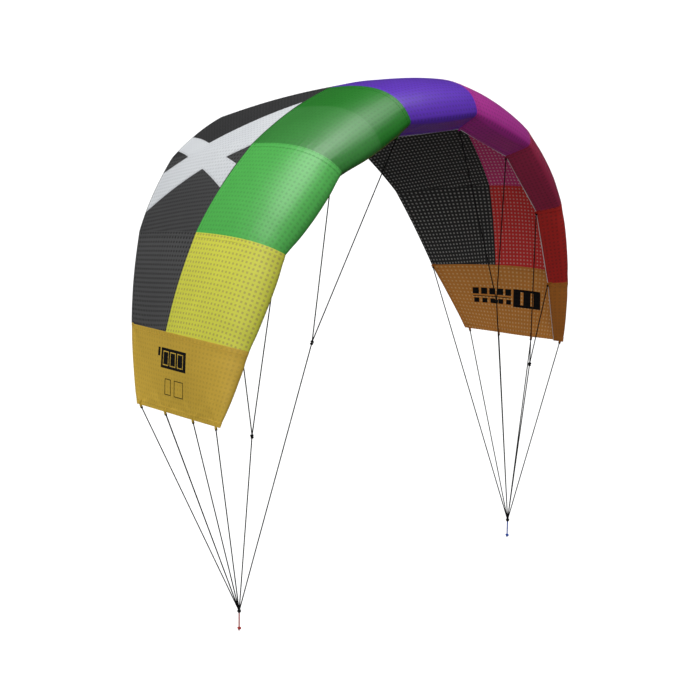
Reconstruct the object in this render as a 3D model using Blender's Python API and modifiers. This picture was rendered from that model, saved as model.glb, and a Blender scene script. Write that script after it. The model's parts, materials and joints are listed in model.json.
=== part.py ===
"""Small two-line power kite: a single-skin cloth arc of nine panels with a
rolled nose, eight nose ribs, hems, a cascaded cord bridle on each side and two
short coloured leaders.

World frame: +Z up, -Y is the way the nose points, +X is the right wing.
The origin is the spot under the middle of the nose where a helper holds it.
"""

import math

import bmesh
import bpy
from mathutils import Vector

# ---- driving dimensions, metres and degrees ----
CELL_WIDTH = 0.1387          # flat width of each of the seven middle cells
TIP_DEPTH = 0.1146           # flat depth of each tip panel
CELL_TILT = (22.4, 46.5, 68.0, 72.1)          # slope of each cell, root to tip
RIB_LEAN = (11.5, 36.6, 56.6, 71.0, 73.4)     # outward lean of ribs 1-4 and the tip edge

# Rib outline, one value for each of ribs 1-4 and the tip edge.
# "along" runs fore and aft, "rise" is the height off the rib's straight base.
REAR_ALONG = (0.2440, 0.2230, 0.1920, 0.1515, 0.1010)
SEAM_ALONG = (-0.0035, 0.0060, 0.0200, 0.0375, 0.0180)
SEAM_RISE = (0.0695, 0.0610, 0.0497, 0.0360, 0.0080)
NOSE_ALONG = (-0.1635, -0.1570, -0.1445, -0.1260, -0.1010)
NOSE_RISE = (0.0310, 0.0280, 0.0255, 0.0225, 0.0190)
LIP_ALONG = (-0.1320, -0.1215, -0.1095, -0.0960, -0.0805)
LIP_RISE = (0.0065, 0.0050, 0.0065, 0.0100, 0.0168)
REAR_SLOPE = 1.21            # slope at the trailing edge over the mean slope up to the seam
SEAM_SLOPE = 0.71            # slope at the seam over the same mean slope
NOSE_FULLNESS = 0.59         # how far the canopy runs level before it turns down
NOSE_DROP = 0.79             # how far down the nose the turn is carried
NOSE_LEAN = 0.26
CREASE = 0.006               # length of cloth rounded off at the nose crease

REAR_STEPS = 12
NOSE_STEPS = 12
SPAN_STEPS = 2

CLOTH = 0.0010               # stand-in thickness, thicker than the real cloth
GAP = 0.0002                 # half the gap left between two neighbouring panels
RIB_INSET = 0.0007
HEM_RADIUS = 0.0010
HEM_OFFSET = 0.0016

CROSS_LIFT = 0.0005
CROSS_CLOTH = 0.0004

LINE_RADIUS = 0.0005
LEADER_RADIUS = 0.0010
KNOT_UP = (0.2142, -0.1004, -0.2884)      # where the inner pair of lines joins
KNOT_LOW = (0.3240, -0.0871, -0.4132)     # where the outer pair of lines joins
TOW = (0.3185, -0.0556, -0.6936)          # where all lines of one side meet
CASCADE_KNOT = 0.0020
TOW_KNOT = 0.0050
LEADER_LENGTH = 0.0220
LEADER_TAIL = 0.0040
TIP_LINE_PLACES = (0.02, 0.34, 0.67, 0.97)

SIDES = (("left", -1.0), ("right", 1.0))

COLOURS = {
    "centre_nose_panel": (0.105, 0.027, 0.445),
    "left_nose_panel_1": (0.023, 0.225, 0.022),
    "left_nose_panel_2": (0.078, 0.480, 0.078),
    "left_nose_panel_3": (0.610, 0.655, 0.055),
    "right_nose_panel_1": (0.355, 0.023, 0.262),
    "right_nose_panel_2": (0.235, 0.022, 0.085),
    "right_nose_panel_3": (0.300, 0.008, 0.008),
}
BLACK = (0.055, 0.055, 0.058)
OCHRE = (0.455, 0.285, 0.042)
WHITE = (0.750, 0.780, 0.800)
CORD = (0.020, 0.020, 0.022)
RED = (0.480, 0.020, 0.020)
BLUE = (0.020, 0.080, 0.480)


def clear():
    for old in list(bpy.data.objects):
        bpy.data.objects.remove(old, do_unlink=True)
    kite = bpy.data.collections.new("two_line_kite")
    bpy.context.scene.collection.children.link(kite)
    return kite


def cubic(a, b, c, d, u):
    v = 1.0 - u
    return v**3 * a + 3 * v * v * u * b + 3 * v * u * u * c + u**3 * d


def cubic_run(a, b, c, d, steps, stop=1.0):
    return [cubic(a, b, c, d, stop * k / steps) for k in range(steps + 1)]


def rib_outline(i):
    """Rear part and nose part of one rib outline as (along, rise) points."""
    rear = Vector((REAR_ALONG[i], 0.0))
    seam = Vector((SEAM_ALONG[i], SEAM_RISE[i]))
    nose = Vector((NOSE_ALONG[i], NOSE_RISE[i]))
    lip = Vector((LIP_ALONG[i], LIP_RISE[i]))
    run = (rear.x - seam.x) / 3.0
    mean_slope = seam.y / (rear.x - seam.x)
    seam_slope = mean_slope * SEAM_SLOPE
    back = cubic_run(
        rear,
        rear + Vector((-run, run * mean_slope * REAR_SLOPE)),
        seam + Vector((run, -run * seam_slope)),
        seam,
        REAR_STEPS,
    )
    reach = NOSE_FULLNESS * (seam.x - nose.x)
    drop = NOSE_DROP * (seam.y - nose.y + 0.02)
    turn = (
        seam,
        seam + Vector((-reach, reach * seam_slope)),
        nose + Vector((drop * NOSE_LEAN, drop)),
        nose,
    )
    stop = 1.0
    while (cubic(*turn, stop) - nose).length < CREASE:
        stop -= 0.002
    bow = cubic_run(*turn, NOSE_STEPS, stop)
    bow.pop()
    start = cubic(*turn, stop)
    end = nose + (lip - nose).normalized() * CREASE
    for k in range(4):
        u = k / 3.0
        bow.append((1 - u) ** 2 * start + 2 * (1 - u) * u * nose + u * u * end)
    bow.append(lip)
    return back, bow


def rib_base(i):
    """Foot of rib i on its trailing-edge line: (across, height)."""
    across = CELL_WIDTH / 2.0
    height = 0.0
    for k in range(i):
        width = CELL_WIDTH if k < 3 else TIP_DEPTH
        across += width * math.cos(math.radians(CELL_TILT[k]))
        height -= width * math.sin(math.radians(CELL_TILT[k]))
    return across, height


def on_rib(i, side, point):
    """A rib outline point put into the kite, before the origin is moved."""
    across, height = rib_base(i)
    lean = math.radians(RIB_LEAN[i])
    return Vector((
        side * (across + math.sin(lean) * point.y),
        point.x,
        height + math.cos(lean) * point.y,
    ))


def rib_line(i, side, part):
    back, bow = rib_outline(i)
    outline = back if part == "rear" else bow
    if part == "whole":
        outline = back + bow[1:]
    return [on_rib(i, side, p) for p in outline]


def hold_point():
    """Middle of the flat strip under the nose, on its outer face."""
    left = rib_line(0, -1.0, "nose")
    right = rib_line(0, 1.0, "nose")
    front = (left[-2] + right[-2]) / 2.0
    back = (left[-1] + right[-1]) / 2.0
    run = (back - front).normalized()
    outward = Vector((1.0, 0.0, 0.0)).cross(run)
    if outward.z > 0:
        outward.negate()
    return (front + back) / 2.0 + outward * CLOTH


ORIGIN = hold_point()


def material(name, colour, roughness):
    mat = bpy.data.materials.new(name)
    mat.use_nodes = True
    shader = mat.node_tree.nodes["Principled BSDF"]
    shader.inputs["Base Color"].default_value = (*colour, 1.0)
    shader.inputs["Roughness"].default_value = roughness
    shader.inputs["Metallic"].default_value = 0.0
    return mat


def add_mesh(kite, name, points, faces, colour, roughness=0.55, smooth=False):
    mesh = bpy.data.meshes.new(name)
    mesh.from_pydata([p - ORIGIN for p in points], [], faces)
    mesh.validate()
    work = bmesh.new()
    work.from_mesh(mesh)
    bmesh.ops.recalc_face_normals(work, faces=work.faces)
    work.to_mesh(mesh)
    work.free()
    obj = bpy.data.objects.new(name, mesh)
    kite.objects.link(obj)
    mesh.materials.append(material(name, colour, roughness))
    for face in mesh.polygons:
        face.use_smooth = smooth
    return obj


def thicken(obj, thickness, outward):
    """Give an open sheet its thickness on the side that faces "outward"."""
    mesh = obj.data
    total = Vector((0.0, 0.0, 0.0))
    for face in mesh.polygons:
        total += face.normal * face.area
    if total.dot(outward) < 0:
        mesh.flip_normals()
    solid = obj.modifiers.new("Cloth", "SOLIDIFY")
    solid.thickness = thickness
    solid.offset = 1.0
    solid.use_even_offset = True
    return obj


def strip_between(first, second, steps):
    """Grid of points and quads between two rows of equal length."""
    points = []
    faces = []
    rows = len(first)
    for a, b in zip(first, second):
        for k in range(steps + 1):
            points.append(a.lerp(b, k / steps))
    wide = steps + 1
    for r in range(rows - 1):
        for k in range(steps):
            corner = r * wide + k
            faces.append((corner, corner + 1, corner + wide + 1, corner + wide))
    return points, faces


def inset(first, second, amount):
    """Pull two facing rows towards each other by the same small amount."""
    near = []
    far = []
    for a, b in zip(first, second):
        step = (b - a).normalized() * amount
        near.append(a + step)
        far.append(b - step)
    return near, far


def trim_ends(row, front, back):
    """Shorten a row of points at either end, keeping its shape."""
    row = [p.copy() for p in row]
    if back:
        row[0] += (row[1] - row[0]).normalized() * back
    if front:
        row[-1] += (row[-2] - row[-1]).normalized() * front
    return row


def panel(kite, name, first, second, colour, trim):
    first = trim_ends(first, *trim)
    second = trim_ends(second, *trim)
    first, second = inset(first, second, GAP)
    points, faces = strip_between(first, second, SPAN_STEPS)
    obj = add_mesh(kite, name, points, faces, colour)
    mid = len(first) // 4
    outward = (first[mid] + second[mid]) / 2.0 - Vector((0.0, 0.0, -0.45))
    outward.y = 0.0
    return thicken(obj, CLOTH, outward)


def make_panels(kite):
    rear_trim = (GAP, 0.0)
    nose_trim = (0.0, GAP)
    panel(
        kite, "centre_rear_panel", rib_line(0, -1.0, "rear"), rib_line(0, 1.0, "rear"),
        BLACK, rear_trim,
    )
    panel(
        kite, "centre_nose_panel", rib_line(0, -1.0, "nose"), rib_line(0, 1.0, "nose"),
        COLOURS["centre_nose_panel"], nose_trim,
    )
    for side_name, side in SIDES:
        for cell in range(3):
            number = cell + 1
            panel(
                kite, f"{side_name}_rear_panel_{number}",
                rib_line(cell, side, "rear"), rib_line(cell + 1, side, "rear"),
                BLACK, rear_trim,
            )
            name = f"{side_name}_nose_panel_{number}"
            panel(
                kite, name,
                rib_line(cell, side, "nose"), rib_line(cell + 1, side, "nose"),
                COLOURS[name], nose_trim,
            )
        panel(
            kite, f"{side_name}_tip_panel",
            rib_line(3, side, "whole"), rib_line(4, side, "whole"),
            OCHRE, (0.0, 0.0),
        )


def make_ribs(kite):
    """Thin cloth ribs that keep the rolled nose open, one on each seam."""
    for side_name, side in SIDES:
        for i in range(4):
            bow = rib_outline(i)[1]
            lip = bow[-1]
            rear = min(range(4, len(bow) - 6), key=lambda k: abs(bow[k].x - lip.x - 0.004))
            outline = bow[rear:]
            shrunk = []
            for k, p in enumerate(outline):
                before = outline[max(k - 1, 0)]
                after = outline[min(k + 1, len(outline) - 1)]
                run = (after - before).normalized()
                shrunk.append(p + Vector((-run.y, run.x)) * RIB_INSET)
            across = Vector((math.cos(math.radians(RIB_LEAN[i])), 0.0, 0.0))
            across.z = -math.sin(math.radians(RIB_LEAN[i]))
            across.x *= side
            sheet = [on_rib(i, side, p) - across * (CLOTH / 2.0) for p in shrunk]
            obj = add_mesh(
                kite, f"{side_name}_nose_rib_{i + 1}", sheet, [tuple(range(len(sheet)))], BLACK
            )
            thicken(obj, CLOTH, across)


def add_tube(kite, name, route, radius, colour, roughness=0.6):
    curve = bpy.data.curves.new(name, "CURVE")
    curve.dimensions = "3D"
    curve.bevel_depth = radius
    curve.bevel_resolution = 2
    curve.use_fill_caps = True
    spline = curve.splines.new("POLY")
    spline.points.add(len(route) - 1)
    for point, place in zip(spline.points, route):
        point.co = (*(place - ORIGIN), 1.0)
    obj = bpy.data.objects.new(name, curve)
    kite.objects.link(obj)
    curve.materials.append(material(name, colour, roughness))
    return obj


def hem_row(side, first, last, end, drop=0.0):
    """Route of a rolled hem just beyond the cloth edge, rib by rib."""
    route = []
    for i in range(first, last + 1):
        back, bow = rib_outline(i)
        edge, inner = (back[0], back[1]) if end == "rear" else (bow[-1], bow[-2])
        away = (edge - inner).normalized() * HEM_OFFSET
        route.append(on_rib(i, side, edge + away - Vector((0.0, drop))))
    return route


def make_hems(kite):
    for end, label in (("rear", "trailing_hem"), ("lip", "lip_hem")):
        left = hem_row(-1.0, 0, 0, end)[0]
        right = hem_row(1.0, 0, 0, end)[0]
        cut = Vector((0.0004, 0.0, 0.0))
        add_tube(kite, f"centre_{label}", [left + cut, right - cut], HEM_RADIUS, BLACK)
        for side_name, side in SIDES:
            route = hem_row(side, 0, 4, end)
            route[0] = route[0] + (route[1] - route[0]).normalized() * 0.0007
            add_tube(kite, f"{side_name}_{label}", route, HEM_RADIUS, BLACK)


def surface_point(u, v, lift):
    """Point on the left rear canopy: u counts ribs outboard, v runs edge to seam."""
    cell = min(int(u), 2)
    place = v * REAR_STEPS
    low = min(int(place), REAR_STEPS - 1)

    def at(rib):
        row = rib_line(rib, -1.0, "rear")
        return row[low].lerp(row[low + 1], place - low)

    def normal(which):
        a = rib_line(which, -1.0, "rear")
        b = rib_line(which + 1, -1.0, "rear")
        n = (b[low] - a[low]).cross(a[low + 1] - a[low]).normalized()
        return n if n.x < 0.3 and n.z > 0 else -n

    base = at(cell).lerp(at(cell + 1), u - cell)
    out = normal(cell)
    if abs(u - round(u)) < 1e-4 and 0 < round(u) < 3:
        joint = int(round(u))
        out = normal(joint - 1) + normal(joint)
        out = out / (out.dot(normal(joint)))
    return base + out * lift


# Corners of the cross as (ribs outboard, share of the way from edge to seam).
CROSS_WAIST = ((1.05, 0.25), (0.875, 0.40), (1.15, 0.80), (1.275, 0.588))
CROSS_ARMS = (
    ((0.875, 0.008), (0.575, 0.008)),
    ((0.325, 0.99), (1.025, 0.99)),
    ((1.25, 0.99), (1.525, 0.99)),
    ((1.75, 0.008), (1.225, 0.008)),
)


def make_cross(kite):
    """White band cross sewn over the left wing, folded over the second rib."""
    work = bmesh.new()
    waist = [work.verts.new((u, v, 0.0)) for u, v in CROSS_WAIST]
    work.faces.new(waist)
    for k, (first, second) in enumerate(CROSS_ARMS):
        far_a = work.verts.new((*first, 0.0))
        far_b = work.verts.new((*second, 0.0))
        work.faces.new((waist[k], far_a, far_b, waist[(k + 1) % 4]))
    cuts = [((0.0, k / REAR_STEPS, 0.0), (0.0, 1.0, 0.0)) for k in range(1, REAR_STEPS)]
    cuts += [((k / SPAN_STEPS, 0.0, 0.0), (1.0, 0.0, 0.0)) for k in range(1, 4)]
    for place, across in cuts:
        everything = work.verts[:] + work.edges[:] + work.faces[:]
        bmesh.ops.bisect_plane(work, geom=everything, dist=1e-6, plane_co=place, plane_no=across)
    for vert in work.verts:
        vert.co = surface_point(vert.co.x, vert.co.y, CLOTH + CROSS_LIFT) - ORIGIN
    bmesh.ops.recalc_face_normals(work, faces=work.faces)
    mesh = bpy.data.meshes.new("white_cross")
    work.to_mesh(mesh)
    work.free()
    obj = bpy.data.objects.new("white_cross", mesh)
    kite.objects.link(obj)
    mesh.materials.append(material("white_cross", WHITE, 0.5))
    thicken(obj, CROSS_CLOTH, Vector((-0.6, 0.0, 0.8)))


def mirrored(place, side):
    return Vector((side * place[0], place[1], place[2]))


def hem_anchor(i, side, end):
    """Cord start clear of the hem at rib i, on the inner side of the arc."""
    return hem_row(side, i, i, end, HEM_RADIUS + LINE_RADIUS + 0.0005)[0]


def tip_anchor(side, fraction):
    """Cord start below the tip edge at a share of its straight chord."""
    row = rib_line(4, side, "whole")
    along = REAR_ALONG[4] + fraction * (NOSE_ALONG[4] - REAR_ALONG[4])
    for a, b in zip(row, row[1:]):
        if (a.y - along) * (b.y - along) <= 0:
            return a.lerp(b, (along - a.y) / (b.y - a.y))
    return row[-1]


def shorten(start, stop, top, bottom):
    run = (stop - start).normalized()
    return start + run * top, stop - run * bottom


def add_ball(kite, name, centre, radius, colour):
    work = bmesh.new()
    bmesh.ops.create_uvsphere(work, u_segments=20, v_segments=12, radius=radius)
    mesh = bpy.data.meshes.new(name)
    work.to_mesh(mesh)
    work.free()
    obj = bpy.data.objects.new(name, mesh)
    obj.location = centre - ORIGIN
    kite.objects.link(obj)
    mesh.materials.append(material(name, colour, 0.6))
    for face in mesh.polygons:
        face.use_smooth = True
    return obj


def add_ring(kite, name, centre, major, minor, colour):
    """Stopper knot drawn as a ring wrapped tight round the leader."""
    points = []
    faces = []
    around = 20
    turns = 10
    for a in range(around):
        t = 2 * math.pi * a / around
        for b in range(turns):
            s = 2 * math.pi * b / turns
            reach = major + minor * math.cos(s)
            points.append(centre + Vector((reach * math.cos(t), reach * math.sin(t), minor * math.sin(s))))
            faces.append((
                a * turns + b,
                ((a + 1) % around) * turns + b,
                ((a + 1) % around) * turns + (b + 1) % turns,
                a * turns + (b + 1) % turns,
            ))
    return add_mesh(kite, name, points, faces, colour, 0.6, True)


def make_bridle(kite):
    for side_name, side in SIDES:
        knot_up = mirrored(KNOT_UP, side)
        knot_low = mirrored(KNOT_LOW, side)
        tow = mirrored(TOW, side)
        reach = TOW_KNOT + 0.0004

        for k, place in enumerate(TIP_LINE_PLACES):
            start, stop = shorten(tip_anchor(side, place), tow, 0.0014, reach)
            add_tube(kite, f"{side_name}_tip_line_{k + 1}", [start, stop], LINE_RADIUS, CORD)

        corner = hem_anchor(3, side, "rear")
        start, stop = shorten(corner, tow, 0.0, reach + 0.0036)
        add_tube(kite, f"{side_name}_trailing_line", [start, stop], LINE_RADIUS, CORD)

        for label, knot, inner in (("inner", knot_up, 0), ("outer", knot_low, 2)):
            first = hem_anchor(inner, side, "lip")
            second = hem_anchor(inner + 1, side, "lip")
            add_tube(
                kite, f"{side_name}_{label}_branch", [first, knot, second], LINE_RADIUS, CORD
            )
            down = (tow - knot).normalized()
            ball = knot + down * (LINE_RADIUS * 1.6 + 0.0003 + CASCADE_KNOT)
            add_ball(kite, f"{side_name}_{label}_knot", ball, CASCADE_KNOT, CORD)
            start = ball + down * (CASCADE_KNOT + 0.0003)
            stop = tow - down * reach
            add_tube(kite, f"{side_name}_{label}_main_line", [start, stop], LINE_RADIUS, CORD)

        colour = RED if side < 0 else BLUE
        add_ball(kite, f"{side_name}_tow_knot", tow, TOW_KNOT, CORD)
        top = tow + Vector((0.0, 0.0, -(TOW_KNOT + 0.0003)))
        bottom = top + Vector((0.0, 0.0, -(LEADER_LENGTH + LEADER_TAIL)))
        add_tube(kite, f"{side_name}_leader", [top, bottom], LEADER_RADIUS, colour)
        ring = top + Vector((0.0, 0.0, -LEADER_LENGTH))
        add_ring(kite, f"{side_name}_stopper_knot", ring, 0.0024, 0.0011, colour)


def main():
    kite = clear()
    make_panels(kite)
    make_ribs(kite)
    make_hems(kite)
    make_cross(kite)
    make_bridle(kite)


main()
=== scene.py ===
"""Builds the finished look of a small two-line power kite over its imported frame."""

import json
import math

import bmesh
import bpy
import numpy as np
from bpy.props import FloatProperty, FloatVectorProperty, PointerProperty
from mathutils import Matrix, Vector


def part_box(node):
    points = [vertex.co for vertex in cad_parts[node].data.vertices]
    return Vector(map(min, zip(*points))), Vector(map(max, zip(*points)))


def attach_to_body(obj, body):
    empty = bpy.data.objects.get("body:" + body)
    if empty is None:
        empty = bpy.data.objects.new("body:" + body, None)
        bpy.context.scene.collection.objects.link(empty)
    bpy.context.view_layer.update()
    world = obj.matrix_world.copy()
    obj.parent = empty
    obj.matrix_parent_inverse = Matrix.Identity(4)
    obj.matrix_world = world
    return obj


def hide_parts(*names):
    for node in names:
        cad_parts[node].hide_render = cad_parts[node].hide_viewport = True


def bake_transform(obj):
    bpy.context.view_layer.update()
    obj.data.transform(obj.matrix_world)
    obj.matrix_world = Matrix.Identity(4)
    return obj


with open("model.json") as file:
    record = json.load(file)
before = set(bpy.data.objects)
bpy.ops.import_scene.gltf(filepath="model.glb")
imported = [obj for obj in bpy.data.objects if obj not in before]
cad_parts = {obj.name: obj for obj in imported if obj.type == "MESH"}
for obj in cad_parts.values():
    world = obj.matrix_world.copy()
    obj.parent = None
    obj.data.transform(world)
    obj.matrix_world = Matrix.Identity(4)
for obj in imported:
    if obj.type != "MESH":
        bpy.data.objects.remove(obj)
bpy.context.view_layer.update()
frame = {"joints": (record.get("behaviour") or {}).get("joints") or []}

bl_info = {
    "name": "Two-line Kite",
    "version": (1, 0, 0),
    "blender": (4, 5, 0),
    "location": "View3D > Sidebar > Kite",
    "description": "Sews the cloth, hems and bridle of a small two-line kite over its frame",
    "category": "Add Mesh",
}

SIDES = (("left", -1.0), ("right", 1.0))
# The cells of each part of the kite, counted from the middle out; cell 4 is the tip.
CELLS = (("centre", 1.0, (0,)), ("left", -1.0, (1, 2, 3, 4)), ("right", 1.0, (1, 2, 3, 4)))
JOINTS = {joint["name"]: joint for joint in frame["joints"]}

# Sewing sizes in metres. Folded cloth stands over the single cloth beside it,
# more at a hem than at a seam, and a seam less inside than outside.
HEM_RISE = 0.00025
SEAM_RISE = 0.00019
SEAM_SINK = 0.00012
# Over how far a fold eases down to the single cloth.
FOLD_EASE = 0.0006
# How far in the two rows of stitches lie, and how high those over a hem stand.
SEAM_ROWS = (0.0016, 0.0064)
HEM_ROWS = (0.0014, 0.0066)
HEM_THREAD_RISE = 0.00027

# Cloth places in the UV map are set this far apart, so no two panels share their marks.
CELL_APART = 1.3
SIDE_APART = 7.1
ROW_APART = 0.37
NOSE_APART = 0.21

# From this share of its width outwards the green cell is painted a little lighter and greyer: painted light,
# standing in for a change in how the light falls across the cell.
PAINTED_LIGHT_FROM = 0.52
PAINTED_LIGHT_TINT = (0.30, 0.66, 0.30, 1.0)
PAINTED_LIGHT_SHARE = 0.085

# Heights of the white bands in metres, counted from BAND_LOW under the cloth's outer face.
BAND_LOW = 0.0002
BAND_TOP = 0.00072
BAND_EDGE_DROP = 0.00022
BAND_THREAD = 0.00074

# Bridle sizes in metres: hitches on the loops, the two turns of a joining knot,
# and where lines start under that knot and stop at the gathered ball.
HITCH_GAP = 0.0006
HITCH_SIZE = 0.0013
KNOT_TOP_SIZE = 0.0021
KNOT_LOW_SIZE = 0.0019
KNOT_APART = 0.0031
MAIN_START = 0.003
BALL_ROOM = 0.0026

# The gathered ball in metres: three turns about each axis round a core.
BALL_SIZE = 0.0023
BALL_BULGE = 0.0003
TURN_APART = 0.00095
TURN_RADIUS = 0.00052
CORE_HALF = 0.0021
CORE_SIZE = 0.0022
STOPPER_SIZE = 0.0022


# ---------------------------------------------------------------- settings


def colour(name, description, value):
    """A colour setting."""
    return FloatVectorProperty(
        name=name, description=description, subtype="COLOR", size=3, min=0.0, max=1.0,
        default=value,
    )


def length(name, description, value):
    """A length setting in metres."""
    return FloatProperty(
        name=name, description=description, default=value, min=0.0, unit="LENGTH", precision=5,
    )


def angle(name, description, degrees):
    """An angle setting, given in degrees."""
    return FloatProperty(
        name=name, description=description, default=math.radians(degrees), subtype="ANGLE",
    )


def number(name, description, value):
    """A plain number setting."""
    return FloatProperty(name=name, description=description, default=value)


def five(name, description, value):
    """Five lengths in metres, one for each rib or cell from the middle out."""
    return FloatVectorProperty(
        name=name, description=description, size=5, default=value, unit="LENGTH", precision=4,
    )


class KiteCutSettings(bpy.types.PropertyGroup):
    """The cut of the kite, the same sizes as its frame"""

    cell_width: length("Cell Width", "Flat width of each middle cell", 0.1387)
    tip_depth: length("Tip Depth", "Flat depth of each tip panel", 0.1146)
    cell_tilt: FloatVectorProperty(
        name="Cell Tilt", description="Slope of each cell from the middle out", size=4,
        default=[math.radians(a) for a in (22.4, 46.5, 68.0, 72.1)], unit="ROTATION",
    )
    rib_lean: FloatVectorProperty(
        name="Rib Lean", description="Outward lean of each rib and of the tip edge", size=5,
        default=[math.radians(a) for a in (11.5, 36.6, 56.6, 71.0, 73.4)], unit="ROTATION",
    )
    rear_along: five("Rear", "Trailing edge place on each rib", (0.244, 0.223, 0.192, 0.1515, 0.101))
    seam_along: five("Seam", "Cross seam place on each rib", (-0.0035, 0.006, 0.02, 0.0375, 0.018))
    seam_rise: five("Seam Rise", "Height of the cross seam", (0.0695, 0.061, 0.0497, 0.036, 0.008))
    nose_along: five("Nose", "Nose crease place on each rib", (-0.1635, -0.157, -0.1445, -0.126, -0.101))
    nose_rise: five("Nose Rise", "Height of the nose crease", (0.031, 0.028, 0.0255, 0.0225, 0.019))
    lip_along: five("Lip", "Lip place on each rib", (-0.132, -0.1215, -0.1095, -0.096, -0.0805))
    lip_rise: five("Lip Rise", "Height of the lip", (0.0065, 0.005, 0.0065, 0.01, 0.0168))
    rear_slope: number("Rear Slope", "Slope at the trailing edge", 1.21)
    seam_slope: number("Seam Slope", "Slope at the cross seam", 0.71)
    nose_fullness: number("Nose Fullness", "Level run of the nose", 0.59)
    nose_drop: number("Nose Drop", "How far down the nose turns", 0.79)
    nose_lean: number("Nose Lean", "Lean of the nose as it turns", 0.26)
    crease: length("Crease", "Cloth rounded off at the nose crease", 0.006)
    frame_cloth: length("Frame Cloth", "Thickness of the plain cloth in the frame", 0.001)
    billow: five("Billow", "How far each cell swells, middle to tip", (0.0048, 0.0064, 0.0058, 0.0036, 0.002))


class KiteClothSettings(bpy.types.PropertyGroup):
    """Cloth make and colours"""

    thickness: length("Cloth", "Thickness of the sewn cloth", 0.0004)
    square: length("Ripstop Square", "Size of one reinforcing square", 0.0070)
    lining_square: length("Lining Square", "Spacing of the pale dots of the inner face", 0.0068)
    hem: length("Hem Width", "Width of a folded hem or seam", 0.008)
    pucker: length("Pucker", "Height of the small puckers beside a seam", 0.00028)
    crease_height: length("Tension Crease", "Height of the creases at each line tab", 0.00055)
    black: colour("Black", "Third rear panels, outside", (0.072, 0.072, 0.073))
    soft_black: colour("Soft Black", "Second rear panels, outside", (0.055, 0.055, 0.056))
    deep_black: colour("Deep Black", "Centre and first rear panels, outside", (0.037, 0.037, 0.038))
    purple: colour("Purple", "Centre nose", (0.112, 0.014, 0.54))
    green: colour("Green", "Left nose beside the centre", (0.006, 0.222, 0.007))
    light_green: colour("Light Green", "Left nose, second cell", (0.072, 0.485, 0.072))
    yellow: colour("Yellow", "Left nose, third cell", (0.76, 0.77, 0.062))
    magenta: colour("Magenta", "Right nose beside the centre", (0.50, 0.013, 0.335))
    wine: colour("Wine", "Right nose, second cell", (0.42, 0.013, 0.078))
    red: colour("Red", "Right nose, third cell", (0.58, 0.011, 0.007))
    ochre: colour("Ochre", "Left tip", (0.74, 0.48, 0.048))
    # Right tip: an ochre a little more orange than the left tip's, and painted darker as painted shade.
    amber: colour("Amber", "Right tip", (0.56, 0.175, 0.012))
    white: colour("White", "Cross on the left wing", (0.62, 0.64, 0.66))


class KiteRiggingSettings(bpy.types.PropertyGroup):
    """Lines, knots and tabs"""

    line: length("Line", "Thickness of a bridle line", 0.00175)
    leader: length("Leader", "Thickness of a leader", 0.0021)
    tab_width: length("Tab Width", "Width of the tape loops", 0.0032)
    tab_reach: length("Tab Reach", "How far a loop stands off the cloth", 0.0042)
    knot_up: FloatVectorProperty(
        name="Inner Knot", description="Where the inner pair joins", size=3,
        default=(0.2142, -0.1004, -0.2884), unit="LENGTH",
    )
    knot_low: FloatVectorProperty(
        name="Outer Knot", description="Where the outer pair joins", size=3,
        default=(0.3240, -0.0871, -0.4132), unit="LENGTH",
    )
    tip_places: FloatVectorProperty(
        name="Tip Lines", description="Places of the tip lines along its edge", size=4,
        default=(0.02, 0.34, 0.67, 0.97),
    )
    black: colour("Line Colour", "Bridle lines", (0.008, 0.008, 0.009))
    red: colour("Left Leader", "Left leader", (0.50, 0.018, 0.016))
    blue: colour("Right Leader", "Right leader", (0.016, 0.085, 0.50))


class KiteStageSettings(bpy.types.PropertyGroup):
    """Floor, light and camera"""

    floor_drop: length("Floor", "Height of the kite's origin over the floor", 2.4)
    camera_turn: angle("Turn", "Camera azimuth", -47.0)
    camera_height: angle("Height", "Camera elevation", 13.29)
    camera_roll: angle("Roll", "Camera roll", 0.9)
    camera_distance: length("Distance", "Camera distance from its target", 3.3)
    camera_target: FloatVectorProperty(
        name="Target", description="Point the camera looks at", size=3, unit="LENGTH",
        default=(-0.0492, 0.1228, -0.3567),
    )
    camera_lens: number("Lens", "Focal length in millimetres", 108.7)
    sky: number("Sky", "Strength of the even light", 0.45)
    mirrored_sky: number("Mirrored Sky", "Strength of the even light in gloss", 0.03)
    key: number("Key", "Strength of the light overhead", 1.25)
    front: number("Front", "Strength of the light over the nose", 0.9)
    fill: number("Fill", "Strength of the light from the left", 0.80)
    side: number("Side", "Strength of the light from the right", 0.8)
    bounce: number("Bounce", "Share of light the floor throws back up", 0.125)


# ---------------------------------------------------------------- the cut of the cloth


def cut():
    """Settings of the kite's cut."""
    return bpy.context.scene.kite_cut


def cloth():
    """Settings of the cloth and its colours."""
    return bpy.context.scene.kite_cloth


def rigging():
    """Settings of the lines, knots and tabs."""
    return bpy.context.scene.kite_rigging


def cubic(points, u):
    """Points at shares u of a cubic curve with four control points."""
    a, b, c, d = points
    u = np.asarray(u, float)[:, None]
    v = 1.0 - u
    return v**3 * a + 3 * v * v * u * b + 3 * v * u * u * c + u**3 * d


def spaced(points, shares):
    """Points at equal shares of a polyline's length."""
    steps = np.linalg.norm(np.diff(points, axis=0), axis=1)
    run = np.concatenate([[0.0], np.cumsum(steps)])
    want = np.asarray(shares, float) * run[-1]
    return np.stack([np.interp(want, run, points[:, k]) for k in range(points.shape[1])], axis=1)


_outlines = {}


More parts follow.
